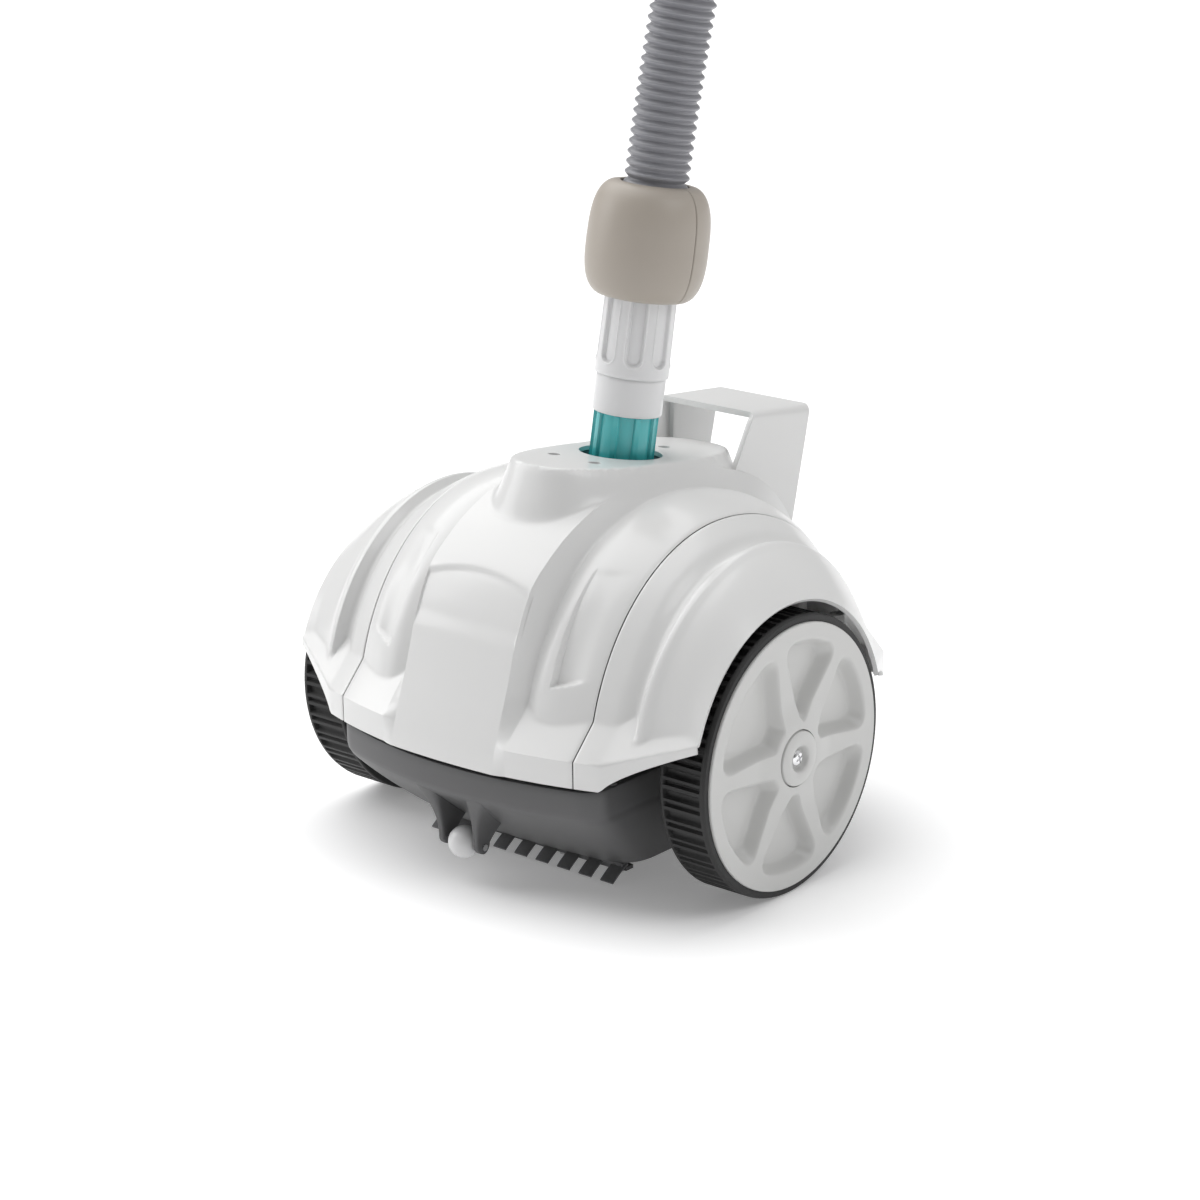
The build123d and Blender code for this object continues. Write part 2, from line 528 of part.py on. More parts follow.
def leader_hose():
    """Hose as one tube along straight runs joined by tangent arcs."""
    route = [Vector(lean, 0, height) for lean, height in HOSE_ROUTE]
    radii = []
    for before, corner, after in zip(route, route[1:], route[2:]):
        turn = radians((corner - before).get_angle(after - corner))
        shorter = min((corner - before).length, (after - corner).length)
        radii.append(0.45 * shorter / tan(turn / 2))
    print("hose bend radii", [round(r) for r in radii])
    path = FilletPolyline(*route, radius=radii)
    start = Plane(path @ 0, z_dir=path % 0)
    section = start * (Circle(HOSE_R) - Circle(HOSE_R - 3.6))
    return sweep(section, path=path)


# ---------------------------------------------------------------- wheels
def spoke_wheel():
    """Rim with a hub, a web and six spokes."""
    rim = tube(RIM_R, 71.5, 124, 153.2, 0, AXLE_Z) + rod(72.5, 139.5, 142.5, 0, AXLE_Z)
    rim += rod(21, 128, 153.2, 0, AXLE_Z)
    spoke = box(142, 153.2, -5.5, 5.5, 18, 73)
    for angle in SPOKE_ANGLES:
        rim += Pos(0, 0, AXLE_Z) * Rot(angle - 90, 0, 0) * spoke
    rim += tube(RIM_R, 69, 151, RIM_FACE_X, 0, AXLE_Z) & rod(RIM_R, 120, 160, 0, AXLE_Z)
    return rim - rod(AXLE_R, 120, 151.5, 0, AXLE_Z) - rod(2.6, 120, 160, 0, AXLE_Z)


def tyre():
    """Rubber band with transverse tread bars."""
    band = tube(TYRE_R, RIM_R + 0.1, RIM_FACE_X - 1.5 - TYRE_WIDTH, RIM_FACE_X - 1.5, 0, AXLE_Z)
    groove = box(120, RIM_FACE_X - 5, -1.6, 1.6, TYRE_R - 1.9, TYRE_R + 2)
    cutters = [Pos(0, 0, AXLE_Z) * Rot(9 * number, 0, 0) * groove for number in range(40)]
    return band - Compound(cutters)


def wheels():
    """Both wheels with their caps, screws and axles."""
    cap = rod(16.8, 153.4, 158.5, 0, AXLE_Z) + rod(13.5, 158.4, 160.6, 0, AXLE_Z)
    cap -= rod(7.6, 156.6, 165, 0, AXLE_Z) + rod(2.6, 150, 165, 0, AXLE_Z)
    screw = rod(5.2, 156.8, 159.4, 0, AXLE_Z) + rod(2.3, 136, 157, 0, AXLE_Z)
    screw -= Pos(159, 0, AXLE_Z) * Box(2.4, 6.4, 1.3)
    screw -= Pos(159, 0, AXLE_Z) * Box(2.4, 1.3, 6.4)
    axle = rod(AXLE_R - 0.02, 50.5, 151.0, 0, AXLE_Z) - rod(2.35, 135, 155, 0, AXLE_Z)
    pieces = {"rim": spoke_wheel(), "tyre": tyre(), "hub_cap": cap, "wheel_screw": screw, "axle": axle}
    for name, piece in pieces.items():
        keep(f"right_{name}", piece)
        keep(f"left_{name}", other_side(piece))


# ---------------------------------------------------------------- handle, ballast and foam
HANDLE_LEG = ((84, 190), (115, 242.5), (172, 237), (150, 145))     # side view, feet run into the cover
TONGUES = ((100, 112), (132, 143))


def handle_leg(side, spare=0.0):
    """One plate leg of the handle, wide enough to reach through the cover."""
    leg = Plane.YZ * make_face(Polyline(*HANDLE_LEG, close=True))
    low = side * HANDLE_HALF - (HANDLE_T if side > 0 else 0) - spare
    return Pos(low, 0, 0) * extrude(leg, HANDLE_T + 2 * spare)


def handle_tongues(side, spare=0.0):
    """The leg's two tongues, which pass through slots in the cover."""
    tongues = [handle_leg(side, spare) & box(-60, 60, y0 - spare, y1 + spare, 100, 210) for y0, y1 in TONGUES]
    return tongues[0] + tongues[1]


def carry_handle():
    """Two plate legs under a flat grip, hooked into the cover by their tongues."""
    grip = [(115, 242.5), (172, 237), (171.6, 233.4), (114, 239)]
    handle = extrude(Plane.YZ * make_face(Polyline(*grip, close=True)), HANDLE_HALF, both=True)
    outline = [(121, 150), (121, 240), (127, 239), (127, 150)]
    rib = extrude(Plane.YZ * make_face(Polyline(*outline, close=True)), 2.2, both=True)
    for side in (1, -1):
        handle += handle_leg(side) + Pos(side * (HANDLE_HALF - 5), 0, 0) * rib
    shoulders = [edge for edge in handle.edges()
                 if edge.center().Z > 239 and abs(edge.center().X) > HANDLE_HALF - 1 and edge.length > 50]
    handle = fillet(shoulders, 3.0)
    crown = dome(-0.3)
    tongues = [handle_tongues(side) - dome(WALL + 3.5, 60) for side in (1, -1)]
    return handle - crown - neck_boss(-0.3, 0.3) + tongues[0] + tongues[1]


def ballast():
    """Foam that keeps the top up and steel plates that keep the front down."""
    foam = [box(-34, 34, -104, -50, 128, 152)]
    plates = [box(middle - 14, middle + 14, -104, -84, 64, 74) for middle in (-30, 30)]
    for name, blocks in (("buoyancy_foam", foam), ("ballast_plates", plates)):
        keep(name, Compound([fillet(block.edges().filter_by(Axis.Z), 4) for block in blocks]))


def main():
    covers()
    base_tray()
    cover_screws()
    underside()
    guide_ball()
    drive_train()
    gear_cases()
    water_path()
    neck_joint()
    hose_line()
    wheels()
    keep("carry_handle", carry_handle())
    ballast()
    os.makedirs("parts", exist_ok=True)
    for name, shape in PARTS.items():
        export_step(Pos(0, -BODY_MIDDLE_Y, 0) * shape, f"parts/{name}.step")
    print(len(PARTS), "sub-parts")


main()
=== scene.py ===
"""Pool cleaner: glossy cover, driven wheels, hose joint, float and leader hose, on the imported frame."""
import json
from math import cos, pi, radians, sin

import bmesh
import bpy
import numpy as np
from mathutils import Matrix, Vector


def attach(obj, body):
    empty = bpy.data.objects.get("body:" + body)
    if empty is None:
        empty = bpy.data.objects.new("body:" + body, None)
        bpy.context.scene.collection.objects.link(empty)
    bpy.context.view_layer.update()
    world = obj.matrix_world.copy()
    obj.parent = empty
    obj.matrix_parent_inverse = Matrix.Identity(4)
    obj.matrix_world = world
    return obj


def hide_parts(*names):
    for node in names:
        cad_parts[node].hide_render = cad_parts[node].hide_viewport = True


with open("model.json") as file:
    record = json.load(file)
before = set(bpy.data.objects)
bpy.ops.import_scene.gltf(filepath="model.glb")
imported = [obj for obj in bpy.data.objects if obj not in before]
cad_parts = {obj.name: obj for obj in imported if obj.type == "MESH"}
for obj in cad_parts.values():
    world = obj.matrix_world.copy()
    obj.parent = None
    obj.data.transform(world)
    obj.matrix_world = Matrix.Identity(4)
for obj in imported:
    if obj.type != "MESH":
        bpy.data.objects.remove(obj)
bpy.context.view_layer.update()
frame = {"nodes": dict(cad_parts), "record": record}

MM = 0.001
BODY_MIDDLE_Y = 23.5                       # shapes below are written in mm with Y = 0 at the axles
AXLE_Z = 83.0
TYRE_R, TREAD_BARS = 83.0, 40
SPOKES = (-4, 52, 103, 178, 238, 294)      # degrees, from the rear towards the top
POCKET = 8.2                               # depth of the rim's pockets
CROSS_TURN = 0.35                          # radians, of the cross in a wheel screw's head
COVER_Y, COVER_Z = 15, 82.0                # middle and foot of the cover
COVER_WALL, BASE_WALL, HANDLE_WALL = 2.6, 2.4, 3.5
SEAM_X, SEAM_GAP = 87.4, 0.6               # between the centre cover and a fender
COVER_SCREWS = ((58, -92), (58, 135))      # front and rear, on the right side
FENDER_SCREWS = ((92.4, -90), (92.4, 126))
NECK_Y, NECK_Z, NECK_SLOPE = 33, 228.5, 0.1228
BALL_R, BALL_Y, BALL_Z = 9.45, -109, 26.4
CAMERA_AT, CAMERA_AIM = (1.1483, -1.4038, 0.7155), (0.0113, -0.0235, 0.1476)


# ---------------------------------------------------------------- helpers
def metres(points):
    """Points in mm from the axles to metres in the frame."""
    return (np.asarray(points, float).reshape(-1, 3) - (0, BODY_MIDDLE_Y, 0)) * MM


def smooth(low, high, value):
    """0 below low, 1 above high, with an S between."""
    t = np.clip((np.asarray(value, float) - low) / (high - low), 0, 1)
    return t * t * (3 - 2 * t)


def soft_min(a, b, k):
    """The smaller of two, with a fillet of about k."""
    h = np.clip(0.5 + 0.5 * (b - a) / k, 0, 1)
    return b * (1 - h) + a * h - k * h * (1 - h)


def soft_max(a, b, k):
    return -soft_min(-a, -b, k)


def curve_through(xs, ys, x):
    """Smooth curve through (xs, ys), read at x."""
    xs, ys, x = (np.asarray(v, float) for v in (xs, ys, x))
    slopes = np.gradient(ys, xs)
    i = np.clip(np.searchsorted(xs, x) - 1, 0, len(xs) - 2)
    span = xs[i + 1] - xs[i]
    t = np.clip((x - xs[i]) / span, 0, 1)
    return ((2 * t ** 3 - 3 * t ** 2 + 1) * ys[i] + (t ** 3 - 2 * t ** 2 + t) * span * slopes[i]
            + (3 * t ** 2 - 2 * t ** 3) * ys[i + 1] + (t ** 3 - t ** 2) * span * slopes[i + 1])


def grid_mesh(name, points, loop_u=False, loop_v=False, caps=False):
    """Object from an array of points (rows, columns, 3) in mm."""
    rows, columns = points.shape[:2]
    index = np.arange(rows * columns).reshape(rows, columns)
    faces = []
    for i in range(rows if loop_u else rows - 1):
        low, high = index[i], index[(i + 1) % rows]
        for j in range(columns if loop_v else columns - 1):
            k = (j + 1) % columns
            faces.append((low[j], low[k], high[k], high[j]))
    if caps:
        faces.append(tuple(index[0][::-1]))
        faces.append(tuple(index[-1]))
    mesh = bpy.data.meshes.new(name)
    mesh.from_pydata(metres(points).tolist(), [], [tuple(int(v) for v in face) for face in faces])
    return from_mesh(name, mesh)


def from_mesh(name, mesh):
    mesh.validate()
    piece = bpy.data.objects.new(name, mesh)
    bpy.context.scene.collection.objects.link(piece)
    tidy_normals(piece)
    return piece


def tidy_normals(piece):
    edit = bmesh.new()
    edit.from_mesh(piece.data)
    bmesh.ops.recalc_face_normals(edit, faces=edit.faces)
    edit.to_mesh(piece.data)
    edit.free()


def apply_modifiers(piece):
    """Bakes every modifier into the piece's mesh."""
    graph = bpy.context.evaluated_depsgraph_get()
    mesh = bpy.data.meshes.new_from_object(piece.evaluated_get(graph))
    piece.modifiers.clear()
    piece.data = mesh


def shade(piece, angle):
    """Smooth shading with sharp edges over an angle."""
    mesh = piece.data
    for polygon in mesh.polygons:
        polygon.use_smooth = True
    edit = bmesh.new()
    edit.from_mesh(mesh)
    for edge in edit.edges:
        edge.smooth = len(edge.link_faces) != 2 or edge.calc_face_angle(0) < radians(angle)
    edit.to_mesh(mesh)
    edit.free()


def thicken(piece, thickness):
    modifier = piece.modifiers.new("wall", "SOLIDIFY")
    modifier.thickness = thickness * MM
    modifier.offset = -1
    modifier.use_even_offset = True


def bevel(piece, width, segments, angle):
    modifier = piece.modifiers.new("edge", "BEVEL")
    modifier.width = width * MM
    modifier.segments = segments
    modifier.limit_method = "ANGLE"
    modifier.angle_limit = radians(angle)


def cut(piece, cutters):
    """Subtracts the cutters from the piece and removes them."""
    for cutter in cutters:
        modifier = piece.modifiers.new("cut", "BOOLEAN")
        modifier.object = cutter
        modifier.operation = "DIFFERENCE"
        modifier.solver = "MANIFOLD"
    apply_modifiers(piece)
    for cutter in cutters:
        bpy.data.objects.remove(cutter, do_unlink=True)


def turned(name, outline, steps=96, place=Matrix()):
    """Turns a closed (r, h) outline in mm about the local Z, then places it."""
    outline = np.asarray(outline, float)
    turn = np.linspace(0, 2 * pi, steps, endpoint=False)
    points = np.stack([np.outer(np.cos(turn), outline[:, 0]), np.outer(np.sin(turn), outline[:, 0]),
                       np.tile(outline[:, 1], (steps, 1))], axis=-1)
    return grid_mesh(name, placed(points, place), loop_u=True, loop_v=True)


def placed(points, place):
    """Points moved by a 4x4 place, in mm."""
    matrix = np.array(place)
    return points @ matrix[:3, :3].T + matrix[:3, 3]


def mirrored(points):
    return points * (-1, 1, 1)


def block(name, low, high, place=Matrix()):
    """A closed box between two corners in mm."""
    plan = ((low[0], low[1]), (high[0], low[1]), (high[0], high[1]), (low[0], high[1]))
    corners = np.array([[(x, y, z) for x, y in plan] for z in (low[2], high[2])], float)
    return grid_mesh(name, placed(corners, place), loop_v=True, caps=True)


def joined(name, pieces):
    """One object from several."""
    edit = bmesh.new()
    for piece in pieces:
        edit.from_mesh(piece.data)
        bpy.data.objects.remove(piece, do_unlink=True)
    mesh = bpy.data.meshes.new(name)
    edit.to_mesh(mesh)
    edit.free()
    return from_mesh(name, mesh)


def along_x(x, y=0.0, z=AXLE_Z):
    """Place whose local Z runs along +X."""
    return Matrix.Translation((x, y, z)) @ Matrix.Rotation(pi / 2, 4, "Y")


NECK = Matrix.Translation((0, NECK_Y, NECK_Z)) @ Matrix.Rotation(radians(-7), 4, "X")
HOSE = NECK @ Matrix.Translation((0, 0, -15)) @ Matrix.Rotation(radians(3), 4, "Y")


# ---------------------------------------------------------------- materials
def moulded(name, color, rough=0.35, spread=0.05, grain=900.0, relief=0.05, coat=0.0, rough_spread=0.08):
    """Moulded plastic or rubber: slight mottling, uneven gloss and a fine surface texture."""
    material = bpy.data.materials.new(name)
    material.use_nodes = True
    nodes, links = material.node_tree.nodes, material.node_tree.links
    shader = nodes["Principled BSDF"]
    place = nodes.new("ShaderNodeTexCoord")
    cloud = nodes.new("ShaderNodeTexNoise")
    cloud.inputs["Scale"].default_value = 9
    cloud.inputs["Detail"].default_value = 2
    links.new(place.outputs["Object"], cloud.inputs["Vector"])
    ramp = nodes.new("ShaderNodeValToRGB")
    ramp.color_ramp.elements[0].position, ramp.color_ramp.elements[1].position = 0.3, 0.7
    ramp.color_ramp.elements[0].color = [c * (1 - spread) for c in color] + [1]
    ramp.color_ramp.elements[1].color = [min(1, c * (1 + spread * 0.5)) for c in color] + [1]
    links.new(cloud.outputs["Fac"], ramp.inputs["Fac"])
    links.new(ramp.outputs["Color"], shader.inputs["Base Color"])
    gloss = nodes.new("ShaderNodeTexNoise")
    gloss.inputs["Scale"].default_value = 20
    gloss.inputs["Detail"].default_value = 2
    links.new(place.outputs["Object"], gloss.inputs["Vector"])
    level = nodes.new("ShaderNodeMapRange")
    level.inputs["To Min"].default_value = max(0.02, rough - rough_spread)
    level.inputs["To Max"].default_value = rough + rough_spread
    links.new(gloss.outputs["Fac"], level.inputs["Value"])
    links.new(level.outputs["Result"], shader.inputs["Roughness"])
    fine = nodes.new("ShaderNodeTexNoise")
    fine.inputs["Scale"].default_value = grain
    fine.inputs["Detail"].default_value = 3
    links.new(place.outputs["Object"], fine.inputs["Vector"])
    bump = nodes.new("ShaderNodeBump")
    bump.inputs["Strength"].default_value = relief
    bump.inputs["Distance"].default_value = 0.0004
    links.new(fine.outputs["Fac"], bump.inputs["Height"])
    links.new(bump.outputs["Normal"], shader.inputs["Normal"])
    shader.inputs["Coat Weight"].default_value = coat
    shader.inputs["Coat Roughness"].default_value = 0.12
    return material


def metal(name, color, rough=0.25):
    """Machined steel: fine streaks in gloss and height."""
    material = bpy.data.materials.new(name)
    material.use_nodes = True
    nodes, links = material.node_tree.nodes, material.node_tree.links
    shader = nodes["Principled BSDF"]
    shader.inputs["Metallic"].default_value = 1.0
    shader.inputs["Base Color"].default_value = (*color, 1)
    place = nodes.new("ShaderNodeTexCoord")
    scale = nodes.new("ShaderNodeMapping")
    scale.inputs["Scale"].default_value = (1, 1, 30)
    links.new(place.outputs["Object"], scale.inputs["Vector"])
    streak = nodes.new("ShaderNodeTexNoise")
    streak.inputs["Scale"].default_value = 120
    streak.inputs["Detail"].default_value = 6
    links.new(scale.outputs["Vector"], streak.inputs["Vector"])
    level = nodes.new("ShaderNodeMapRange")
    level.inputs["To Min"].default_value = rough * 0.6
    level.inputs["To Max"].default_value = rough * 1.5
    links.new(streak.outputs["Fac"], level.inputs["Value"])
    links.new(level.outputs["Result"], shader.inputs["Roughness"])
    bump = nodes.new("ShaderNodeBump")
    bump.inputs["Strength"].default_value = 0.08
    bump.inputs["Distance"].default_value = 0.0002
    links.new(streak.outputs["Fac"], bump.inputs["Height"])
    links.new(bump.outputs["Normal"], shader.inputs["Normal"])
    return material


LOOK = {
    "white_cover": moulded("white_cover", (0.70, 0.70, 0.695), 0.31, 0.005, 300, 0.008, 0.3, 0.015),
    "grey_base": moulded("grey_base", (0.092, 0.092, 0.094), 0.45, 0.06, 900, 0.06, 0.0, 0.06),
    "white_fitting": moulded("white_fitting", (0.70, 0.70, 0.705), 0.31, 0.005, 350, 0.010, 0.25, 0.015),
    "turquoise": moulded("turquoise", (0.060, 0.46, 0.475), 0.20, 0.04, 600, 0.02, 0.25, 0.04),
    "float_foam": moulded("float_foam", (0.385, 0.345, 0.30), 0.42, 0.03, 1100, 0.06, 0.0, 0.06),
    "hose_grey": moulded("hose_grey", (0.23, 0.23, 0.25), 0.36, 0.05, 1200, 0.05, 0.1, 0.06),
    "rim_grey": moulded("rim_grey", (0.585, 0.585, 0.575), 0.36, 0.006, 500, 0.012, 0.1, 0.02),
    "tread": moulded("tread", (0.013, 0.013, 0.013), 0.58, 0.25, 700, 0.35, 0.0, 0.12),
    "comb_rubber": moulded("comb_rubber", (0.16, 0.16, 0.165), 0.5, 0.12, 900, 0.25, 0.0, 0.1),
    "seal_rubber": moulded("seal_rubber", (0.02, 0.02, 0.02), 0.5, 0.2, 900, 0.2),
    "gear_nylon": moulded("gear_nylon", (0.72, 0.70, 0.62), 0.4, 0.04, 1200, 0.05),
    "inner_plastic": moulded("inner_plastic", (0.16, 0.16, 0.17), 0.45, 0.08, 1300, 0.1),
    "white_foam": moulded("white_foam", (0.82, 0.82, 0.80), 0.85, 0.05, 500, 0.6),
    "steel": metal("steel", (0.56, 0.56, 0.57)),
    "bright_screw": metal("bright_screw", (0.78, 0.78, 0.79), 0.14),
}


def dress(piece, look):
    piece.data.materials.clear()
    piece.data.materials.append(LOOK[look])


# CAD pieces that stay as they are get the same materials through their record slot.
for part in frame["record"]["subparts"]:
    node = frame["nodes"][part["node"]]
    for material_slot in node.material_slots:
        material_slot.link = "OBJECT"
        material_slot.material = LOOK[part["material_slot"]]


# ---------------------------------------------------------------- cover
# Flank of the cover at each station: x, centre y, front, rear, height over COVER_Z, fullness.
FLANK = np.array((
    (0.0, 15, 125, 148, 133.0, 2.03),
    (46.0, 15, 125, 148, 133.0, 2.03),
    (54.0, 15, 127.5, 148, 134.0, 2.05),
    (62.0, 15, 127.0, 145, 133.5, 2.06),
    (75.0, 15, 123.0, 139, 130.5, 2.05),
    (87.4, 15, 118.0, 130, 126.0, 2.03),
    (100.0, 13, 112.6, 121.5, 119.5, 2.0),
    (112.0, 11, 106.0, 111.6, 112.4, 2.0),
    (115.5, 10, 109.6, 114.8, 116.2, 2.0),
    (123.0, 8, 103.6, 111.8, 113.4, 2.0),
    (133.0, 5, 96.8, 105.4, 107.0, 2.0),
    (142.0, 3, 92.4, 98.4, 99.6, 2.0),
    (150.0, 1, 90.5, 90.5, 91.5, 2.0),
))
# Spine on the middle line: polar angle from the front about (COVER_Y, COVER_Z), radius.
SPINE = np.array(((0, 144.9), (3.6, 143.2), (11.6, 139.6), (18.2, 138.4), (25, 139.8), (31.6, 143.2),
                  (36.9, 146.0), (42, 148.2), (52, 147.6), (60, 146.6), (68, 145.2), (78, 142.8), (90, 142.0),
                  (104, 144.5), (118, 151), (132, 159.5), (146, 163), (160, 161.5), (180, 160.0)))
SPINE_HALF, WALL_HALF = 38.0, 46.0         # half widths where the spine ends and the flank begins
ARCH_R = 87.5
BOSS_R, BOSS_BORE, BOSS_FOOT = 4.6, 1.9, 83
MID_Z = 150.0                              # rows run by height below this, by angle above
NECK_PLATE = (37.0, 83.0, 34.0)            # half width, half length and middle of the flat round the neck


def flank_numbers(x):
    return [curve_through(FLANK[:, 0], FLANK[:, k], x) for k in range(1, 6)]


def flank_reach(half, height, fullness, z):
    """Distance from the centre line at a height."""
    return half * (1 - np.clip((z - COVER_Z) / height, 0, 1) ** fullness) ** (1 / fullness)


def skirt_lines(x, rear):
    """Plan reach of the skirt, and the heights of its lower and upper edges, at a station."""
    corner = 110.0 if rear else 103.0
    past = np.clip((x - corner) / (150 - corner), 0, 1)
    if rear:
        reach = np.where(x < corner, 177 - 25 * (x / 110) ** 2, 152 - 68 * past)
    else:
        reach = np.where(x < corner, 130 - 18.5 * (x / 103) ** 2, 111.5 - 26 * past)
    return reach, COVER_Z + 26 * past ** 0.7, 97.5 + 15 * past


def cover_columns(low, high, extra):
    """Stations from low to high, 2 mm apart, and closer at each feature."""
    stations = set(np.round(np.arange(low, high, 2.0), 2)) | {low, high}
    for value in extra:
        if low < value < high:
            stations.add(value)
    stations = sorted(stations)
    kept = [stations[0]]
    for value in stations[1:]:
        if value - kept[-1] > 0.3:
            kept.append(value)
    kept[-1] = high
    return np.array(kept)


def spine_radius(angle):
    return curve_through(np.radians(SPINE[:, 0]), SPINE[:, 1], angle)


def cover_rows(x):
    """Rows of points for one side of the cover at stations x >= 0: array (rows, len(x), 3)."""
    centre, front, rear, height, fullness = flank_numbers(x)
    blend = 1 - np.clip((x - SPINE_HALF) / (WALL_HALF - SPINE_HALF), 0, 1)
    crown = 1.4 * np.clip(x / SPINE_HALF, 0, 1) ** 2
    angles = np.radians(np.linspace(0, 180, 721))
    spine_y = COVER_Y - spine_radius(angles) * np.cos(angles)
    spine_z = COVER_Z + spine_radius(angles) * np.sin(angles)
    half = len(angles) // 2
    rows = []
    for is_rear in (False, True):
        reach, foot, edge = skirt_lines(x, is_rear)
        side = rear if is_rear else front
        part = []
        for step in np.linspace(0, 1, 62):
            z = foot + (MID_Z - foot) * step
            flank = flank_reach(side, height, fullness, z)
            out = flank + (centre if is_rear else -centre)
            band = reach - np.clip(z - edge, 0, None) * 0.95 - np.clip(edge - z, 0, None) * 0.02
            out = soft_max(out, np.where(z > edge + 40, -400, band), 0.6)
            if is_rear:
                spine = np.interp(z, spine_z[::-1][:half], spine_y[::-1][:half]) - crown
                spine = np.maximum(spine, 0)
            else:
                spine = -np.interp(z, spine_z[:half], spine_y[:half]) - crown
            y = blend * spine + (1 - blend) * out
            part.append(np.stack([x, y if is_rear else -y, z], axis=-1))
        rows.append(part)
    front_part, rear_part = rows
    upper = []
    spine_front = np.interp(MID_Z, spine_z[:half], angles[:half])
    spine_rear = np.interp(MID_Z, spine_z[::-1][:half], angles[::-1][:half])
    flank_front = np.arctan2(MID_Z - COVER_Z, flank_reach(front, height, fullness, MID_Z))
    flank_rear = pi - np.arctan2(MID_Z - COVER_Z, flank_reach(rear, height, fullness, MID_Z))
    for step in np.linspace(0, 1, 232)[1:-1]:
        turn = flank_front + (flank_rear - flank_front) * step
        c, s = np.cos(turn), np.sin(turn)
        side = np.where(c > 0, front, rear)
        radius = ((np.abs(c) / side) ** fullness + (s / height) ** fullness) ** (-1 / fullness)
        flank = np.stack([x, centre - radius * c, COVER_Z + radius * s], axis=-1)
        angle = spine_front + (spine_rear - spine_front) * step
        r = spine_radius(angle) - crown
        spine = np.stack([x, COVER_Y - r * np.cos(angle), COVER_Z + r * np.sin(angle)], axis=-1)
        upper.append(blend[:, None] * spine + (1 - blend[:, None]) * flank)
    return np.array(front_part + upper + rear_part[::-1])


def cover_features(points):
    """Panel recess on the spine, scoops on the flanks, and the neck platform."""
    x, y, z = np.moveaxis(points, -1, 0)
    inward = np.stack([np.zeros_like(x), COVER_Y - y, COVER_Z - z], axis=-1)
    inward /= np.linalg.norm(inward, axis=-1, keepdims=True)
    ahead = (y < 0).astype(float)
    top = 187 - 6.5 * (x / SPINE_HALF) ** 2
    panel = ahead * smooth(149, 161, z) * (1 - smooth(top - 2.2, top, z)) * (1 - smooth(37.0, 38.6, x))
    left = 59.5 + 1.5 * smooth(190, 132, z)
    scoop = smooth(left - 0.7, left + 0.7, x) * (1 - smooth(66, 83, x))
    bottom = 133 + 0.25 * (x - 62)
    scoop *= ahead * smooth(bottom - 1.5, bottom + 1.5, z) * (1 - smooth(188, 192, z))
    depth = 0.7 + 3.6 * smooth(192, 140, z)
    points = points + inward * (1.6 * panel + depth * scoop)[..., None]
    x, y, z = np.moveaxis(points, -1, 0)
    plate = NECK_Z - NECK_SLOPE * (y - NECK_Y)
    wide, long, middle = NECK_PLATE
    a, b, power = x / wide, np.abs(y - middle) / long, 2.6
    rho = (a ** power + b ** power) ** (1 / power) + 1e-9
    slope_x = rho ** (1 - power) * a ** (power - 1) / wide
    slope_y = rho ** (1 - power) * b ** (power - 1) / long
    outside = (rho - 1) / np.maximum(np.hypot(slope_x, slope_y), 1e-4)
    drop = 2.7 * (np.sqrt(outside ** 2 + 0.4) + outside) / 2
    boss = np.where(outside > 40, 0, plate - np.where(outside < -4, 0, drop))
    near = (rho < 1.8) & (z > 150)
    z = np.where(near, soft_max(z, boss, 4.0), z)
    return np.stack([x, y, z], axis=-1)


def cover_shell(stations, seam_at):
    """Points of one cover piece at its stations, drawn in a little at the seam."""
    points = cover_features(cover_rows(stations))
    for index, station in enumerate(stations):
        near = abs(station - seam_at)
        if near < 1.2:
            centre = np.array((0, COVER_Y, COVER_Z))
            away = centre - points[:, index] * (0, 1, 1)
            away /= np.linalg.norm(away, axis=1, keepdims=True)
            points[:, index] += away * 0.55 * (1 - near / 1.2) ** 2
    return points


def neck_cutters():
    """The neck hole and the three screw recesses."""
    cutters = [turned("cut", [(0.01, -14), (24.8, -14), (24.8, 8), (0.01, 8)], 96, NECK)]
    for x, y in ((-15.3, -43.1), (15.3, -43.1), (0, 41.3)):
        cutters.append(turned("cut", [(0.01, -2.4), (3.7, -2.4), (3.7, 6), (0.01, 6)], 32,
                              NECK @ Matrix.Translation((x, y, 0))))
    return cutters


def arch_cutter(side):
    outline = [(0.01, 0), (ARCH_R, 0), (ARCH_R, 60), (0.01, 60)]
    return turned("cut", outline, 160, along_x(102 if side > 0 else -162))


def screw_bosses(shell, places):
    """Tubes under the cover that its screws go into, each up to the lowest height of the shell over it."""
    bosses = []
    for x, y in places:
        heights = []
        for turn in np.linspace(0, 2 * pi, 12, endpoint=False):
            foot = metres((x + BOSS_R * cos(turn), y + BOSS_R * sin(turn), BOSS_FOOT + 1))[0]
            heights.append(shell.ray_cast(foot, (0, 0, 1))[1].z / MM)
        top = min(heights) + 1.2
        outline = [(BOSS_BORE, BOSS_FOOT), (BOSS_R, BOSS_FOOT), (BOSS_R, top), (BOSS_BORE, top)]
        bosses.append(turned("boss", outline, 40, Matrix.Translation((x, y, 0))))
    return bosses


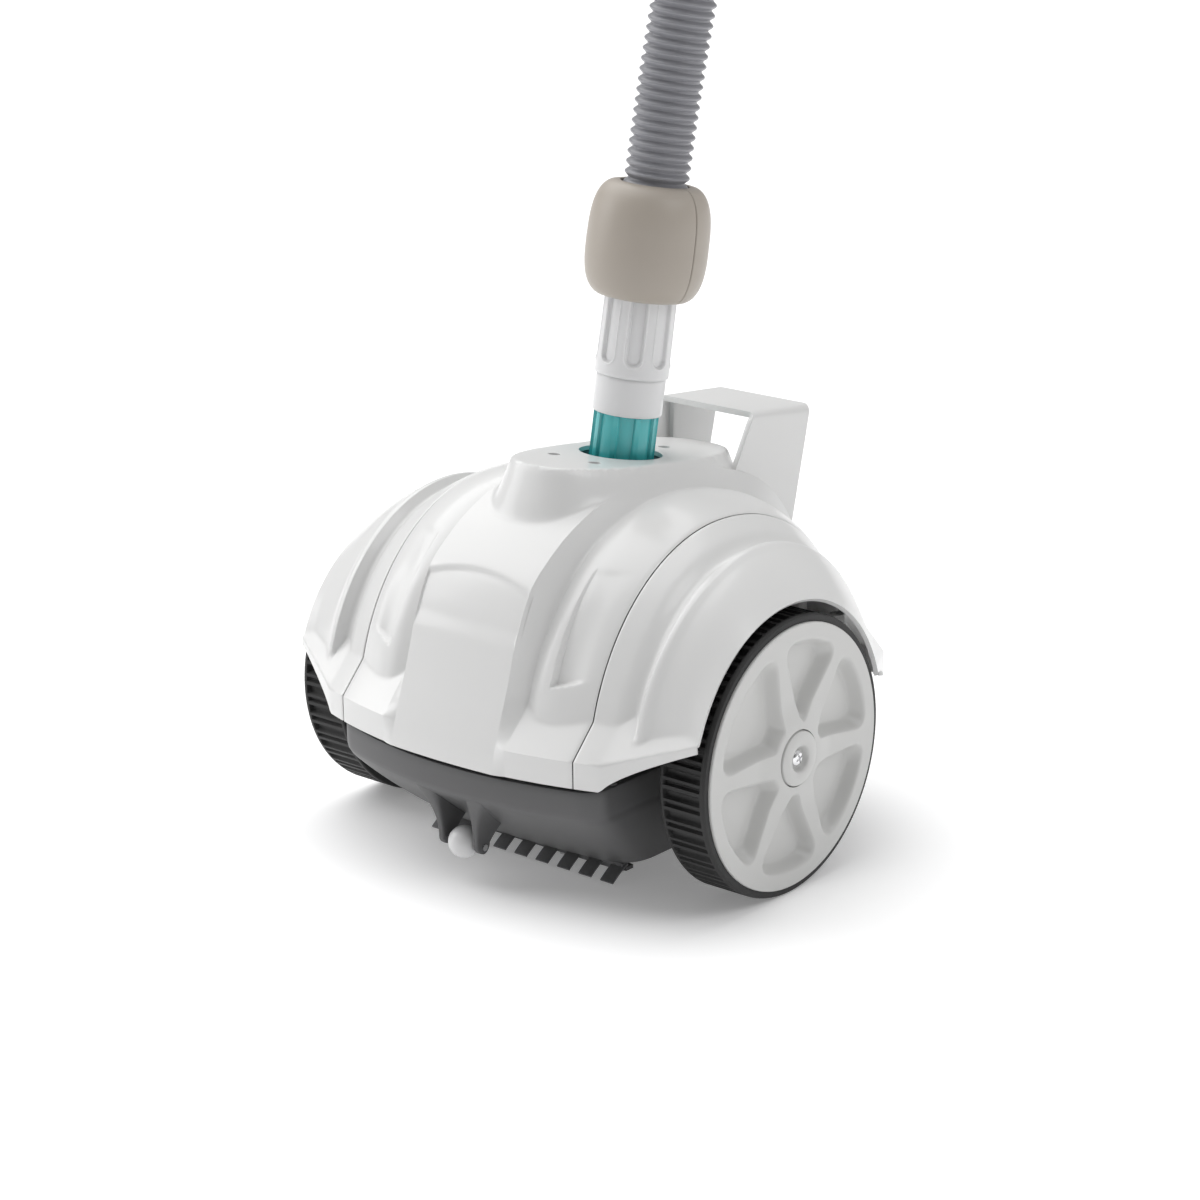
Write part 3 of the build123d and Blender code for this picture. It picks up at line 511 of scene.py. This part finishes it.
def cover_pieces():
    fine = [36.6, 37.2, 37.6, 38.0, 38.5, 39.2, 45.2, 45.8, 46.4, 47, 59.0, 59.5, 59.9, 60.3, 60.8, 61.3,
            61.9, 62.5, 75, 76, 77, 78, 79, 80, 86.2, 86.6, 86.9]
    inner_edge, outer_edge = SEAM_X - SEAM_GAP / 2, SEAM_X + SEAM_GAP / 2
    half = cover_shell(cover_columns(0.0, inner_edge, fine), inner_edge)
    whole = np.concatenate([mirrored(half[:, :0:-1]), half], axis=1)
    centre = grid_mesh("cover_centre", whole)
    thicken(centre, COVER_WALL)
    cut(centre, neck_cutters())
    fine = [87.9, 88.2, 88.7, 111, 111.6, 112.0, 112.5, 113, 114, 149.2, 149.6]
    half = cover_shell(cover_columns(outer_edge, 150.0, fine), outer_edge)
    right = grid_mesh("fender_right", half)
    left = grid_mesh("fender_left", mirrored(half))
    for piece, side in ((right, 1), (left, -1)):
        thicken(piece, COVER_WALL)
        cut(piece, [arch_cutter(side)])
    for piece, node in ((centre, "center_cover"), (right, "right_fender"), (left, "left_fender")):
        if piece is centre:
            places = [(side * x, y) for x, y in COVER_SCREWS for side in (1, -1)]
        else:
            side = 1 if piece is right else -1
            places = [(side * x, y) for x, y in FENDER_SCREWS]
        bosses = screw_bosses(piece, places)
        piece = joined(piece.name, [piece, *bosses])
        shade(piece, 38)
        dress(piece, "white_cover")
        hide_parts(node)
        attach(piece, "root")


cover_pieces()


# ---------------------------------------------------------------- wheels
def pocket_depth(radius, turn):
    """Depth of the rim's six pockets: star-shaped spokes, sloping walls and rounded corners."""
    nearest = np.full_like(turn, 400.0)
    for spoke in SPOKES:
        off = (turn - radians(spoke) + pi) % (2 * pi) - pi
        aside = radius * np.abs(np.sin(off)) - (7.2 - (radius * np.cos(off) - 20) * 0.075)
        nearest = np.minimum(nearest, np.where(np.abs(off) < pi / 2, aside, 400.0))
    inside = soft_min(soft_min(nearest, 69.0 - radius, 11.0), radius - 21.5, 2.5)
    wall = np.clip(inside / 5.6, 0, 1)
    return POCKET * smooth(-0.12, 1.0, wall) - POCKET * smooth(-0.12, 1.0, 0.0)


def rim(name, side):
    """Rim with a pocketed face, a barrel behind it and a recess round the hub cap."""
    turns = np.linspace(0, 2 * pi, 540, endpoint=False)
    radii = np.concatenate([np.linspace(16.9, 22, 6), np.linspace(22.6, 68, 66), np.linspace(68.6, 77.4, 10)])
    rings = []
    for radius in radii:
        face = 154.4 + 2.4 * (1 - smooth(17, 36, radius))
        rings.append((np.full_like(turns, radius), face - pocket_depth(radius, turns)))
    barrel = ((77.9, 154.4), (78.25, 154.1), (78.4, 153.5), (78.4, 150), (78.4, 124.6), (78.0, 124),
              (72, 124), (71.6, 124.4), (71.5, 138), (70.5, 139.5), (24, 139.5), (21.5, 138.8), (21, 137.5),
              (21, 128.4), (20.6, 128), (5.2, 128), (5.05, 128.2), (5.05, 151.2), (10, 151.4), (16.6, 151.6),
              (16.9, 152.0))
    for radius, x in barrel:
        rings.append((np.full_like(turns, radius), np.full_like(turns, x)))
    points = np.stack([np.stack([x * side, r * np.cos(turns), AXLE_Z + r * np.sin(turns)], axis=-1)
                       for r, x in rings])
    return grid_mesh(name, points, loop_u=True, loop_v=True)


def tyre(name, side):
    """Rubber band: transverse bars between plain lips, parted by a wide and a narrow notch in turn."""
    turns = np.linspace(0, 2 * pi, TREAD_BARS * 24, endpoint=False)
    place = (turns * TREAD_BARS / (2 * pi)) % 1
    wide = np.sqrt(np.clip(1 - ((place - 0.30) / 0.21) ** 2, 0, 1))
    narrow = np.sqrt(np.clip(1 - ((place - 0.80) / 0.10) ** 2, 0, 1))
    notch = np.maximum(3.0 * wide, 2.2 * narrow)
    tread = ((122.2, 0.5, 0), (123.0, 0, 0), (124.4, 0, 0), (124.9, 0, 0.5), (125.4, 0, 1), (130, 0, 1),
             (136, 0, 1), (142, 0, 1), (149.2, 0, 1), (149.7, 0, 0.5), (150.1, 0, 0), (150.9, 0, 0),
             (152.2, 0.35, 0))
    inside = ((82.0, 152.9), (80.5, 153.1), (78.7, 152.9), (78.5, 152.6), (78.5, 122.4), (78.8, 122.1),
              (81.8, 122.0))
    rings = [(TYRE_R - 0.05 - drop - notch * reach, x) for x, drop, reach in tread]
    rings += [(np.full_like(turns, r), x) for r, x in inside]
    points = np.stack([np.stack([np.full_like(turns, x * side), r * np.cos(turns),
                                 AXLE_Z + r * np.sin(turns)], axis=-1) for r, x in rings])
    return grid_mesh(name, points, loop_u=True, loop_v=True)


def hub_parts(side):
    """Cap with a stepped recess, and a crosshead screw in it."""
    away = along_x(0)
    outline = ((7.0, 156.1), (7.5, 157.6), (8.0, 158.3), (8.8, 158.7), (12, 158.6), (15.2, 158.0),
               (15.9, 157.7), (16.2, 157.1), (16.25, 153.6), (2.7, 153.6), (2.7, 155.0), (6.2, 155.1))
    cap = turned("hub_cap", outline, 128, away)
    outline = ((0.01, 157.5), (2.6, 157.4), (3.8, 157.0), (4.6, 156.3), (4.7, 155.6), (2.2, 155.4),
               (2.2, 140), (0.01, 140))
    screw = turned("screw", outline, 64, away)
    arms = []
    for turn in (CROSS_TURN, CROSS_TURN + pi / 2):
        place = away @ Matrix.Rotation(turn, 4, "Z")
        arms.append(block("cut", (-0.6, -2.9, 156.2), (0.6, 2.9, 160), place))
    cut(screw, arms)
    for piece in (cap, screw):
        if side < 0:
            piece.data.transform(Matrix.Scale(-1, 4, (1, 0, 0)))
            tidy_normals(piece)
    return cap, screw


def wheels():
    for name, side in (("right", 1), ("left", -1)):
        cap, screw = hub_parts(side)
        pieces = ((rim(f"{name}_rim_face", side), "rim", "rim_grey", 50),
                  (tyre(f"{name}_tread", side), "tyre", "tread", 30),
                  (cap, "hub_cap", "rim_grey", 35),
                  (screw, "wheel_screw", "bright_screw", 30))
        for piece, node, look, angle in pieces:
            shade(piece, angle)
            dress(piece, look)
            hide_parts(f"{name}_{node}")
            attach(piece, f"{name}_wheel")


wheels()


# ---------------------------------------------------------------- hose joint, float and hose
SPIGOT_RIBS, RIB_TURN = 9, 10.5            # degrees round the hose to the first rib
FLUTE_TURN = 29.5                          # degrees, half a spacing plus the turn of the cuff's flutes
SEAM_TURN = -2.0                           # degrees to the seam between the float's halves


def on_hose(radius, turns, height):
    """Points round the hose's axis at one height over the pivot."""
    height = np.broadcast_to(height, turns.shape)
    return np.stack([radius * np.cos(turns), radius * np.sin(turns), height], axis=-1)


def fitting(name, rings, node, look, angle):
    piece = grid_mesh(name, placed(np.stack(rings), HOSE), loop_u=True, loop_v=True)
    shade(piece, angle)
    dress(piece, look)
    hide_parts(node)
    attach(piece, "hose")


def spigot():
    """Ribbed tube with rounded rails, on a ball-shaped collar with two trunnions."""
    turns = np.linspace(0, 2 * pi, 480, endpoint=False)
    place = ((turns - radians(RIB_TURN)) * SPIGOT_RIBS / (2 * pi) + 0.5) % 1
    rail = smooth(0.345, 0.385, place) * (1 - smooth(0.615, 0.655, place))
    rings = []
    steps = ((-8.4, 0), (6.0, 0), (9.2, 0), (9.8, 0.7), (10.6, 1), (38.6, 1), (39.3, 1), (39.5, 0), (60, 0))
    for height, reach in steps:
        rings.append(on_hose(17.6 + 1.75 * rail * reach, turns, height))
    bore = ((15.3, 60), (15.2, 59), (15.2, -11), (15.6, -11.4), (18.0, -11.4), (18.3, -10.8))
    rings += [on_hose(np.full_like(turns, r), turns, h) for r, h in bore]
    fitting("ribbed_spigot", rings, "hose_spigot", "turquoise", 40)
    ball = [(23.55 * cos(a), 23.55 * sin(a)) for a in np.linspace(-0.36, 0.36, 15)]
    ring = turned("collar", ball + [(18.2, 8.2), (18.2, -8.2)], 96, HOSE)
    pins = [turned("pin", [(0.01, 19), (3, 19), (3, 26.8), (2.5, 27.3), (0.01, 27.3)], 32,
                   HOSE @ Matrix.Rotation(turn, 4, "X")) for turn in (pi / 2, -pi / 2)]
    collar = joined("spigot_collar", [ring, *pins])
    shade(collar, 35)
    dress(collar, "turquoise")
    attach(collar, "hose")


def joint_cuff():
    """Cuff with eight long U-ended flutes, each with a fine raised border, over a plain retaining ring."""
    turns = np.linspace(0, 2 * pi, 576, endpoint=False)
    spans = (np.linspace(62.3, 66, 6), np.linspace(66.5, 76, 32), np.linspace(77, 111.5, 24))
    rings = []
    for height in np.concatenate(spans):
        wall = 21.9 - 0.6 * (height - 62) / 50 - 0.5 * smooth(63.5, 62.2, height)
        aside = np.abs((turns + radians(FLUTE_TURN)) % radians(45) - radians(22.5)) * 21.5
        bottom = np.maximum(74.6 - height, 0)
        inside = 4.9 - np.hypot(aside, bottom)
        flute = 2.0 * smooth(0.0, 1.0, inside)
        border = 0.4 * np.exp(-((inside + 0.6) / 0.45) ** 2)
        rings.append(on_hose(wall - flute + border, turns, height))
    inside = ((20.4, 112.4), (19.2, 113.6), (15.1, 113.9), (15.1, 125.6), (13.5, 125.8), (13.5, 62.3),
              (20.9, 62.15))
    rings += [on_hose(np.full_like(turns, r), turns, h) for r, h in inside]
    fitting("fluted_cuff", rings, "hose_cuff", "white_fitting", 45)
    outline = ((18.6, 39.9), (20.0, 39.7), (20.45, 40.2), (20.6, 41.2), (20.5, 60.2), (20.4, 61.6),
               (20.1, 61.95), (18.6, 61.95))
    ring = turned("ring", outline, 128, HOSE)
    shade(ring, 40)
    dress(ring, "white_fitting")
    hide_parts("cuff_ring")
    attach(ring, "hose")


def float_halves():
    """Two foam half shells, rounded like a barrel, that meet in a fine seam."""
    heights = np.linspace(-1, 1, 61)
    middle, half = 141.25, 33.6
    profile = [(22.2, 108.0)]
    for t in heights:
        reach = np.sign(t) * abs(t) ** 0.8
        radius = 21.5 + (35.7 - 21.5) * (1 - abs(reach) ** 2.9) ** (1 / 2.3) - 0.5 * reach
        profile.append((radius, middle + half * reach))
    profile += [(20.2, 174.6), (19.9, 173.5), (19.9, 118), (22.0, 117.5)]
    profile = np.array(profile)
    edge = np.array([0.3, 0.45, 0.65, 0.9, 1.3, 1.9, 3.0])
    for name, start in (("a", SEAM_TURN), ("b", SEAM_TURN + 180)):
        turns = np.concatenate([edge, np.linspace(4.5, 175.5, 72), 180 - edge[::-1]])
        rows = []
        for turn in turns:
            near = min(turn, 180 - turn)
            inset = 0.45 * (1 - smooth(0.3, 1.5, near)) ** 1.5
            a = radians(start + turn)
            radius = profile[:, 0] - np.where(profile[:, 0] > 20.5, inset, 0)
            rows.append(np.stack([radius * cos(a), radius * sin(a), profile[:, 1]], axis=-1))
        piece = grid_mesh(f"float_shell_{name}", placed(np.stack(rows), HOSE), loop_v=True, caps=True)
        shade(piece, 50)
        dress(piece, "float_foam")
        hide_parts(f"float_half_{name}")
        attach(piece, "hose")


# Lean and height over the pivot of the hose's route, then its diameter and one ridge's length, in metres.
HOSE_ROUTE = ((0.0, 0.115), (0.0008, 0.192), (0.0039, 0.271), (0.0096, 0.350))
HOSE_D, RIDGE = 0.038, 0.0058


def hose_place():
    """The hose's frame in metres."""
    place = HOSE.copy()
    place.translation = (place.translation - Vector((0, BODY_MIDDLE_Y, 0))) * MM
    return place


def hose_line():
    """The hose's smooth centre line, as points read from its NURBS spline."""
    line = bpy.data.curves.new("hose_line", "CURVE")
    line.dimensions = "3D"
    line.resolution_u = 48
    spline = line.splines.new("NURBS")
    spline.points.add(len(HOSE_ROUTE) - 1)
    for point, (lean, height) in zip(spline.points, HOSE_ROUTE):
        point.co = (*(hose_place() @ Vector((lean, 0, height))), 1)
    spline.order_u = 3
    spline.use_endpoint_u = True
    guide = bpy.data.objects.new("hose_line", line)
    bpy.context.scene.collection.objects.link(guide)
    mesh = bpy.data.meshes.new_from_object(guide)
    points = [vertex.co.copy() for vertex in mesh.vertices]
    bpy.data.objects.remove(guide, do_unlink=True)
    return points


def leader_hose():
    """Corrugated hose: rounded ridges along the centre line."""
    line = hose_line()
    steps = np.array(line)
    run = np.concatenate([[0], np.cumsum(np.linalg.norm(np.diff(steps, axis=0), axis=1))])
    length = run[-1]
    side = hose_place().to_3x3() @ Vector((0, 1, 0))
    turns = np.linspace(0, 2 * pi, 72, endpoint=False)
    ridges = int(length / RIDGE)
    rows = []
    for s in np.linspace(0, length, ridges * 12 + 1):
        centre = np.array([np.interp(s, run, steps[:, k]) for k in range(3)])
        ahead = np.array([np.interp(min(s + 0.002, length), run, steps[:, k]) for k in range(3)])
        behind = np.array([np.interp(max(s - 0.002, 0), run, steps[:, k]) for k in range(3)])
        forward = Vector(ahead - behind).normalized()
        across = side.cross(forward).normalized()
        up = forward.cross(across)
        wave = 0.5 + 0.5 * cos(2 * pi * s / length * ridges)
        radius = HOSE_D / 2 - 0.0025 * (1 - wave ** 0.85)
        rows.append(centre + radius * (np.outer(np.cos(turns), across) + np.outer(np.sin(turns), up)))
    inner = [rows[-1] + (centre - rows[-1]) * 0.22, rows[0] + (steps[0] - rows[0]) * 0.22]
    points = np.stack(rows + inner) / MM + (0, BODY_MIDDLE_Y, 0)
    hose = grid_mesh("corrugated_hose", points, loop_u=True, loop_v=True)
    shade(hose, 60)
    dress(hose, "hose_grey")
    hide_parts("leader_hose")
    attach(hose, "hose")
    far_cuff()


def far_cuff():
    """Plain cuff that the next length of hose plugs into."""
    (x0, z0), (x1, z1) = HOSE_ROUTE[-2:]
    tip = Matrix.Translation((x1 / MM, 0, z1 / MM)) @ Matrix.Rotation(np.arctan2(x1 - x0, z1 - z0), 4, "Y")
    outline = ((16.1, 0.4), (21.2, 0.2), (21.8, 0.8), (21.95, 2.5), (21.95, 36.5), (21.7, 37.6),
               (20.6, 39.6), (20.4, 40.6), (20.4, 60.6), (20.1, 61.6), (19.4, 61.9), (18.1, 61.9),
               (17.65, 61.4), (17.65, 30.2), (16.1, 30.0))
    cuff = turned("hose_end_cuff", outline, 128, HOSE @ tip)
    shade(cuff, 45)
    dress(cuff, "white_fitting")
    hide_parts("far_cuff")
    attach(cuff, "hose")
    return cuff


spigot()
joint_cuff()
float_halves()
leader_hose()


# ---------------------------------------------------------------- handle
def handle():
    """Bent plate: two tapering legs under a flat grip, with rounded shoulders and a rib in each leg."""
    half, top_round = 37.0, 5.0
    path = [(half, rise) for rise in np.linspace(0, 0.93, 24)]
    path += [(half - top_round * (1 - cos(a)), 0.93 + 0.07 * sin(a)) for a in np.linspace(0.2, pi / 2, 8)]
    path += [(x, 1.0) for x in np.linspace(half - top_round - 2, 0, 12)]
    path += [(-x, rise) for x, rise in reversed(path[:-1])]
    low_front, top_front = np.array((86, 193)), np.array((115, 242.3))
    low_rear, top_rear = np.array((151, 150)), np.array((172, 236.8))
    across = np.concatenate([[0, 0.012, 0.03], np.linspace(0.06, 0.94, 26), [0.97, 0.988, 1]])
    rows = []
    for x, rise in path:
        front = low_front + (top_front - low_front) * rise
        rear = low_rear + (top_rear - low_rear) * rise
        yz = front[None] + (rear - front)[None] * across[:, None]
        rows.append(np.stack([np.full(len(across), x), yz[:, 0], yz[:, 1]], axis=-1))
    plate = grid_mesh("handle_plate", np.stack(rows))
    thicken(plate, HANDLE_WALL)
    apply_modifiers(plate)
    ribs = [block("rib", (low_x, 121.5, 196), (low_x + 3.8, 126.5, 237)) for low_x in (30.2, -34)]
    piece = joined("bent_handle", [plate, *ribs])
    bevel(piece, 0.9, 3, 50)
    apply_modifiers(piece)
    shade(piece, 40)
    dress(piece, "white_cover")
    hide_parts("carry_handle")
    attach(piece, "root")


handle()


# ---------------------------------------------------------------- base, ball and comb
def base_ring(z, half, front, front_corner, rear_corner, rear, corner=12.0):
    """Closed plan outline at one height: bowed front and rear, straight sides, rounded corners."""
    t = np.linspace(0, 1, 40)
    x = (half - corner) * t
    front_part = np.stack([x, front + (front_corner - front) * (x / half) ** 2], axis=-1)
    rear_part = np.stack([x, rear + (rear_corner - rear) * (x / half) ** 2], axis=-1)[::-1]
    side_y = front_corner + corner + (rear_corner - front_corner - 2 * corner) * t
    side = np.stack([np.full_like(t, half), side_y], axis=-1)
    bend = np.linspace(0, 1, 12)[1:-1, None]
    one, two, three = (1 - bend) ** 2, 2 * bend * (1 - bend), bend ** 2
    front_bend = one * front_part[-1] + two * (half, front_corner) + three * side[0]
    rear_bend = one * side[-1] + two * (half, rear_corner) + three * rear_part[0]
    right = np.concatenate([front_part, front_bend, side, rear_bend, rear_part])
    whole = np.concatenate([right, right[-2:0:-1] * (-1, 1)])
    return np.column_stack([whole, np.full(len(whole), z)])


def mouth_ring(z):
    """The intake's rounded rectangle."""
    return base_ring(z, 34, -23, -23, 28, 28, 4.0)


def base_shell():
    """Upright rim over sloping chins, with a shadow gap under the cover and a mouth in the floor."""
    upper = np.array((98.0, -127, -108, 148, 172))
    lower = np.array((80.0, -59, -52, 108, 114))
    inward = np.array((-1.0, 1, 1, -1, -1))
    rim_rows = ((84, 9.0), (78.9, 8.8), (78.7, 8.4), (78.7, 3), (78.65, 1.2), (78.3, 0.5), (77.6, 0.25),
                (74, 0.2), (69, 0.25), (65, 0.45), (62.6, 0.8))
    rows = [base_ring(z, *(upper + inward * inset)) for z, inset in rim_rows]
    for t in np.concatenate([np.linspace(0.02, 0.12, 6), np.linspace(0.17, 0.93, 24)]):
        bulge = 2.2 * sin(pi * t) - 1.2 * (1 - min(1, t / 0.12)) ** 2
        rows.append(base_ring(62 - 50 * t, *(upper + (lower - upper) * t - inward * bulge), 12 + 6 * t))
    for z, inset in ((14.6, -0.2), (13.6, 0.8), (12.8, 2.1), (12.3, 3.6), (12.05, 5.4)):
        rows.append(base_ring(z, *(lower + inward * inset), 18))
    rows += [mouth_ring(12.05), mouth_ring(15)]
    shell = grid_mesh("base_shell", np.stack(rows), loop_v=True)
    thicken(shell, BASE_WALL)
    apply_modifiers(shell)
    return shell


def bracket(side):
    """Arm for the guide ball: flares with concave sides up into the chin, round at its foot."""
    turns = np.linspace(0, 2 * pi, 64, endpoint=False)
    rows = []
    for z in np.concatenate([np.linspace(22.4, 28, 12), np.linspace(29, 60, 26)]):
        rise = max(0.0, (z - 28) / 32)
        foot = max(0.15, 5.6 * np.sqrt(max(0.0, 1 - (min(z, 28) - 28) ** 2 / 5.7 ** 2)))
        front = BALL_Y - foot - 8.5 * rise ** 1.8
        rear = BALL_Y + foot + 42 * rise ** 1.15
        inner, outer = 11.2 - 1.5 * rise ** 2, 15.4 + 14 * rise ** 2.2
        c, s = np.cos(turns), np.sin(turns)
        u, v = np.sign(c) * np.abs(c) ** 0.4, np.sign(s) * np.abs(s) ** 0.4
        x = side * ((inner + outer) / 2 + (outer - inner) / 2 * u)
        y = (front + rear) / 2 + (rear - front) / 2 * v
        rows.append(np.stack([x, y, np.full_like(turns, z)], axis=-1))
    return grid_mesh("bracket", np.stack(rows), loop_v=True, caps=True)


def base():
    pieces = [base_shell(), bracket(1), bracket(-1)]
    for side in (1, -1):
        place = along_x(0)
        for outline in ([(8.1, 93), (33, 93), (34, 94), (34, 97.4), (33.4, 98), (8.1, 98)],
                        [(8.1, 89), (13, 89), (13, 103.2), (12.2, 104), (8.1, 104)]):
            disc = turned("cheek", outline, 96, place)
            if side < 0:
                disc.data.transform(Matrix.Scale(-1, 4, (1, 0, 0)))
            pieces.append(disc)
        skid = block("skid", (side * 55 - 3, 92, 1.2), (side * 55 + 3, 106, 14))
        bevel(skid, 2.4, 5, 40)
        apply_modifiers(skid)
        pieces.append(skid)
    towers = ((COVER_SCREWS[0], 5.8, 44), (FENDER_SCREWS[0], 4.3, 65),
              (COVER_SCREWS[1], 5.8, 46), (FENDER_SCREWS[1], 4.3, 65))
    for (x, y), radius, foot in towers:
        outline = [(2.1, foot), (radius, foot), (radius, 79.8), (2.1, 79.8)]
        for side in (1, -1):
            pieces.append(turned("tower", outline, 40, Matrix.Translation((side * x, y, 0))))
    piece = joined("base_body", pieces)
    shade(piece, 32)
    dress(piece, "grey_base")
    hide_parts("base_tray")
    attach(piece, "root")


def ball():
    """Guide ball with two flats and a bore for its pin."""
    arc = [(BALL_R * cos(a), BALL_R * sin(a)) for a in np.linspace(-1.22, 1.22, 41)]
    outline = arc + [(3.0, 8.8), (1.9, 8.6), (1.9, -8.6), (3.0, -8.8)]
    rolled = turned("ball_body", outline, 96, along_x(0, BALL_Y, BALL_Z))
    shade(rolled, 40)
    dress(rolled, "white_fitting")
    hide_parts("guide_ball")
    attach(rolled, "front_ball")


def comb():
    """Nine curved rubber fingers on a root strip."""
    pieces = []
    arc = np.linspace(0, 1, 15)
    middle = np.stack([-46 - 4 * arc - 10 * arc ** 1.5, 10.7 - 1.4 * arc - 6.6 * arc ** 2.0], axis=-1)
    along = np.gradient(middle, axis=0)
    normal = np.stack([-along[:, 1], along[:, 0]], axis=-1)
    normal /= np.linalg.norm(along, axis=1, keepdims=True)
    half = 0.95 - 0.25 * arc[:, None]
    over, under = middle + normal * half, middle - normal * half
    loop = np.concatenate([over, under[::-1]])
    slices = ((-4.8, 0.5), (-4.55, 0.85), (-4.2, 1), (4.2, 1), (4.55, 0.85), (4.8, 0.5))
    for number in range(9):
        x = 16.4 * (number - 4)
        rows = [np.column_stack([np.full(len(loop), x + off), drawn_in(loop, shrink)])
                for off, shrink in slices]
        pieces.append(grid_mesh("finger", np.stack(rows), loop_v=True, caps=True))
    strip = block("strip", (-69.5, -50.3, 9.5), (69.5, -45.2, 11.9))
    # Root web behind the fingers, in dark rubber. It is partly a real part of the comb and partly painted
    # shade: it darkens the gaps between the fingers, where the shade under the base falls.
    web_and_shade = block("web_and_shade", (-68.5, -49.2, 6.6), (68.5, -47.4, 10.5))
    bevel(strip, 0.6, 3, 40)
    apply_modifiers(strip)
    piece = joined("comb_fingers", pieces + [strip, web_and_shade])
    shade(piece, 40)
    dress(piece, "comb_rubber")
    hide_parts("scrubber_comb")
    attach(piece, "root")


def drawn_in(loop, shrink):
    """The loop drawn in towards the finger's middle line, for rounded edges."""
    count = len(loop) // 2
    middle = (loop[:count] + loop[:count - 1:-1]) / 2
    both = np.concatenate([middle, middle[::-1]])
    return both + (loop - both) * shrink


base()
ball()
comb()


# ---------------------------------------------------------------- camera, floor and light
def set_camera():
    scene = bpy.context.scene
    camera = bpy.data.objects.new("camera", bpy.data.cameras.new("camera"))
    scene.collection.objects.link(camera)
    camera.location = CAMERA_AT
    aim = Vector(CAMERA_AIM) - camera.location
    camera.rotation_euler = aim.to_track_quat("-Z", "Y").to_euler()
    camera.data.lens, camera.data.sensor_width = 95.9, 36
    camera.data.clip_start, camera.data.clip_end = 0.05, 60
    scene.camera = camera
    scene.view_settings.view_transform = "Standard"


def set_floor():
    """White floor that glows a little, so that it stays pale under the part."""
    bpy.ops.mesh.primitive_plane_add(size=40, location=(0, 0, 0))
    floor = bpy.context.object
    floor.name = "floor"
    surface = bpy.data.materials.new("floor")
    surface.use_nodes = True
    nodes, links = surface.node_tree.nodes, surface.node_tree.links
    shader = nodes["Principled BSDF"]
    shader.inputs["Roughness"].default_value = 0.6
    shader.inputs["Specular IOR Level"].default_value = 0.2
    shader.inputs["Emission Color"].default_value = (1, 1, 1, 1)
    shader.inputs["Emission Strength"].default_value = 0.19
    grain = nodes.new("ShaderNodeTexNoise")
    grain.inputs["Scale"].default_value = 3
    tint = nodes.new("ShaderNodeValToRGB")
    tint.color_ramp.elements[0].color = (0.92, 0.92, 0.925, 1)
    tint.color_ramp.elements[1].color = (0.95, 0.95, 0.95, 1)
    links.new(grain.outputs["Fac"], tint.inputs["Fac"])
    links.new(tint.outputs["Color"], shader.inputs["Base Color"])
    floor.data.materials.append(surface)


def set_world():
    """Studio light: brightest to the sides of the view, dimmer beyond the part, darkest behind the camera."""
    world = bpy.data.worlds.new("studio")
    bpy.context.scene.world = world
    world.use_nodes = True
    nodes, links = world.node_tree.nodes, world.node_tree.links
    place = nodes.new("ShaderNodeTexCoord")
    facing = nodes.new("ShaderNodeVectorMath")
    facing.operation = "DOT_PRODUCT"
    facing.inputs[1].default_value = (0.61, -0.76, 0.22)
    links.new(place.outputs["Generated"], facing.inputs[0])
    span = nodes.new("ShaderNodeMapRange")
    span.inputs["From Min"].default_value, span.inputs["From Max"].default_value = -1.0, 1.0
    links.new(facing.outputs["Value"], span.inputs["Value"])
    dim = nodes.new("ShaderNodeValToRGB")
    ramp = dim.color_ramp.elements
    ramp[0].position, ramp[1].position = 0.1, 0.97
    ramp[0].color, ramp[1].color = (0.42, 0.42, 0.42, 1), (0.10, 0.10, 0.10, 1)
    middle = ramp.new(0.5)
    middle.color = (0.70, 0.70, 0.70, 1)
    links.new(span.outputs["Result"], dim.inputs["Fac"])
    links.new(dim.outputs["Color"], nodes["Background"].inputs["Color"])


def set_lamps():
    """A broad overhead light and two soft disks."""
    scene = bpy.context.scene
    sun = bpy.data.objects.new("sky_light", bpy.data.lights.new("sky_light", "SUN"))
    sun.data.energy, sun.data.angle = 2.1, 1.3
    sun.rotation_euler = Vector((0.46, -0.06, -0.88)).to_track_quat("-Z", "Y").to_euler()
    scene.collection.objects.link(sun)
    for name, place, size, power in (("key", (-1.6, -0.9, 0.9), 1.1, 7), ("side", (1.3, 0.1, 1.5), 1.0, 6)):
        light = bpy.data.objects.new(name, bpy.data.lights.new(name, "AREA"))
        light.data.shape, light.data.size, light.data.energy = "DISK", size, power
        light.location = place
        light.rotation_euler = (Vector((0, 0, 0.12)) - light.location).to_track_quat("-Z", "Y").to_euler()
        scene.collection.objects.link(light)


set_camera()
set_floor()
set_world()
set_lamps()
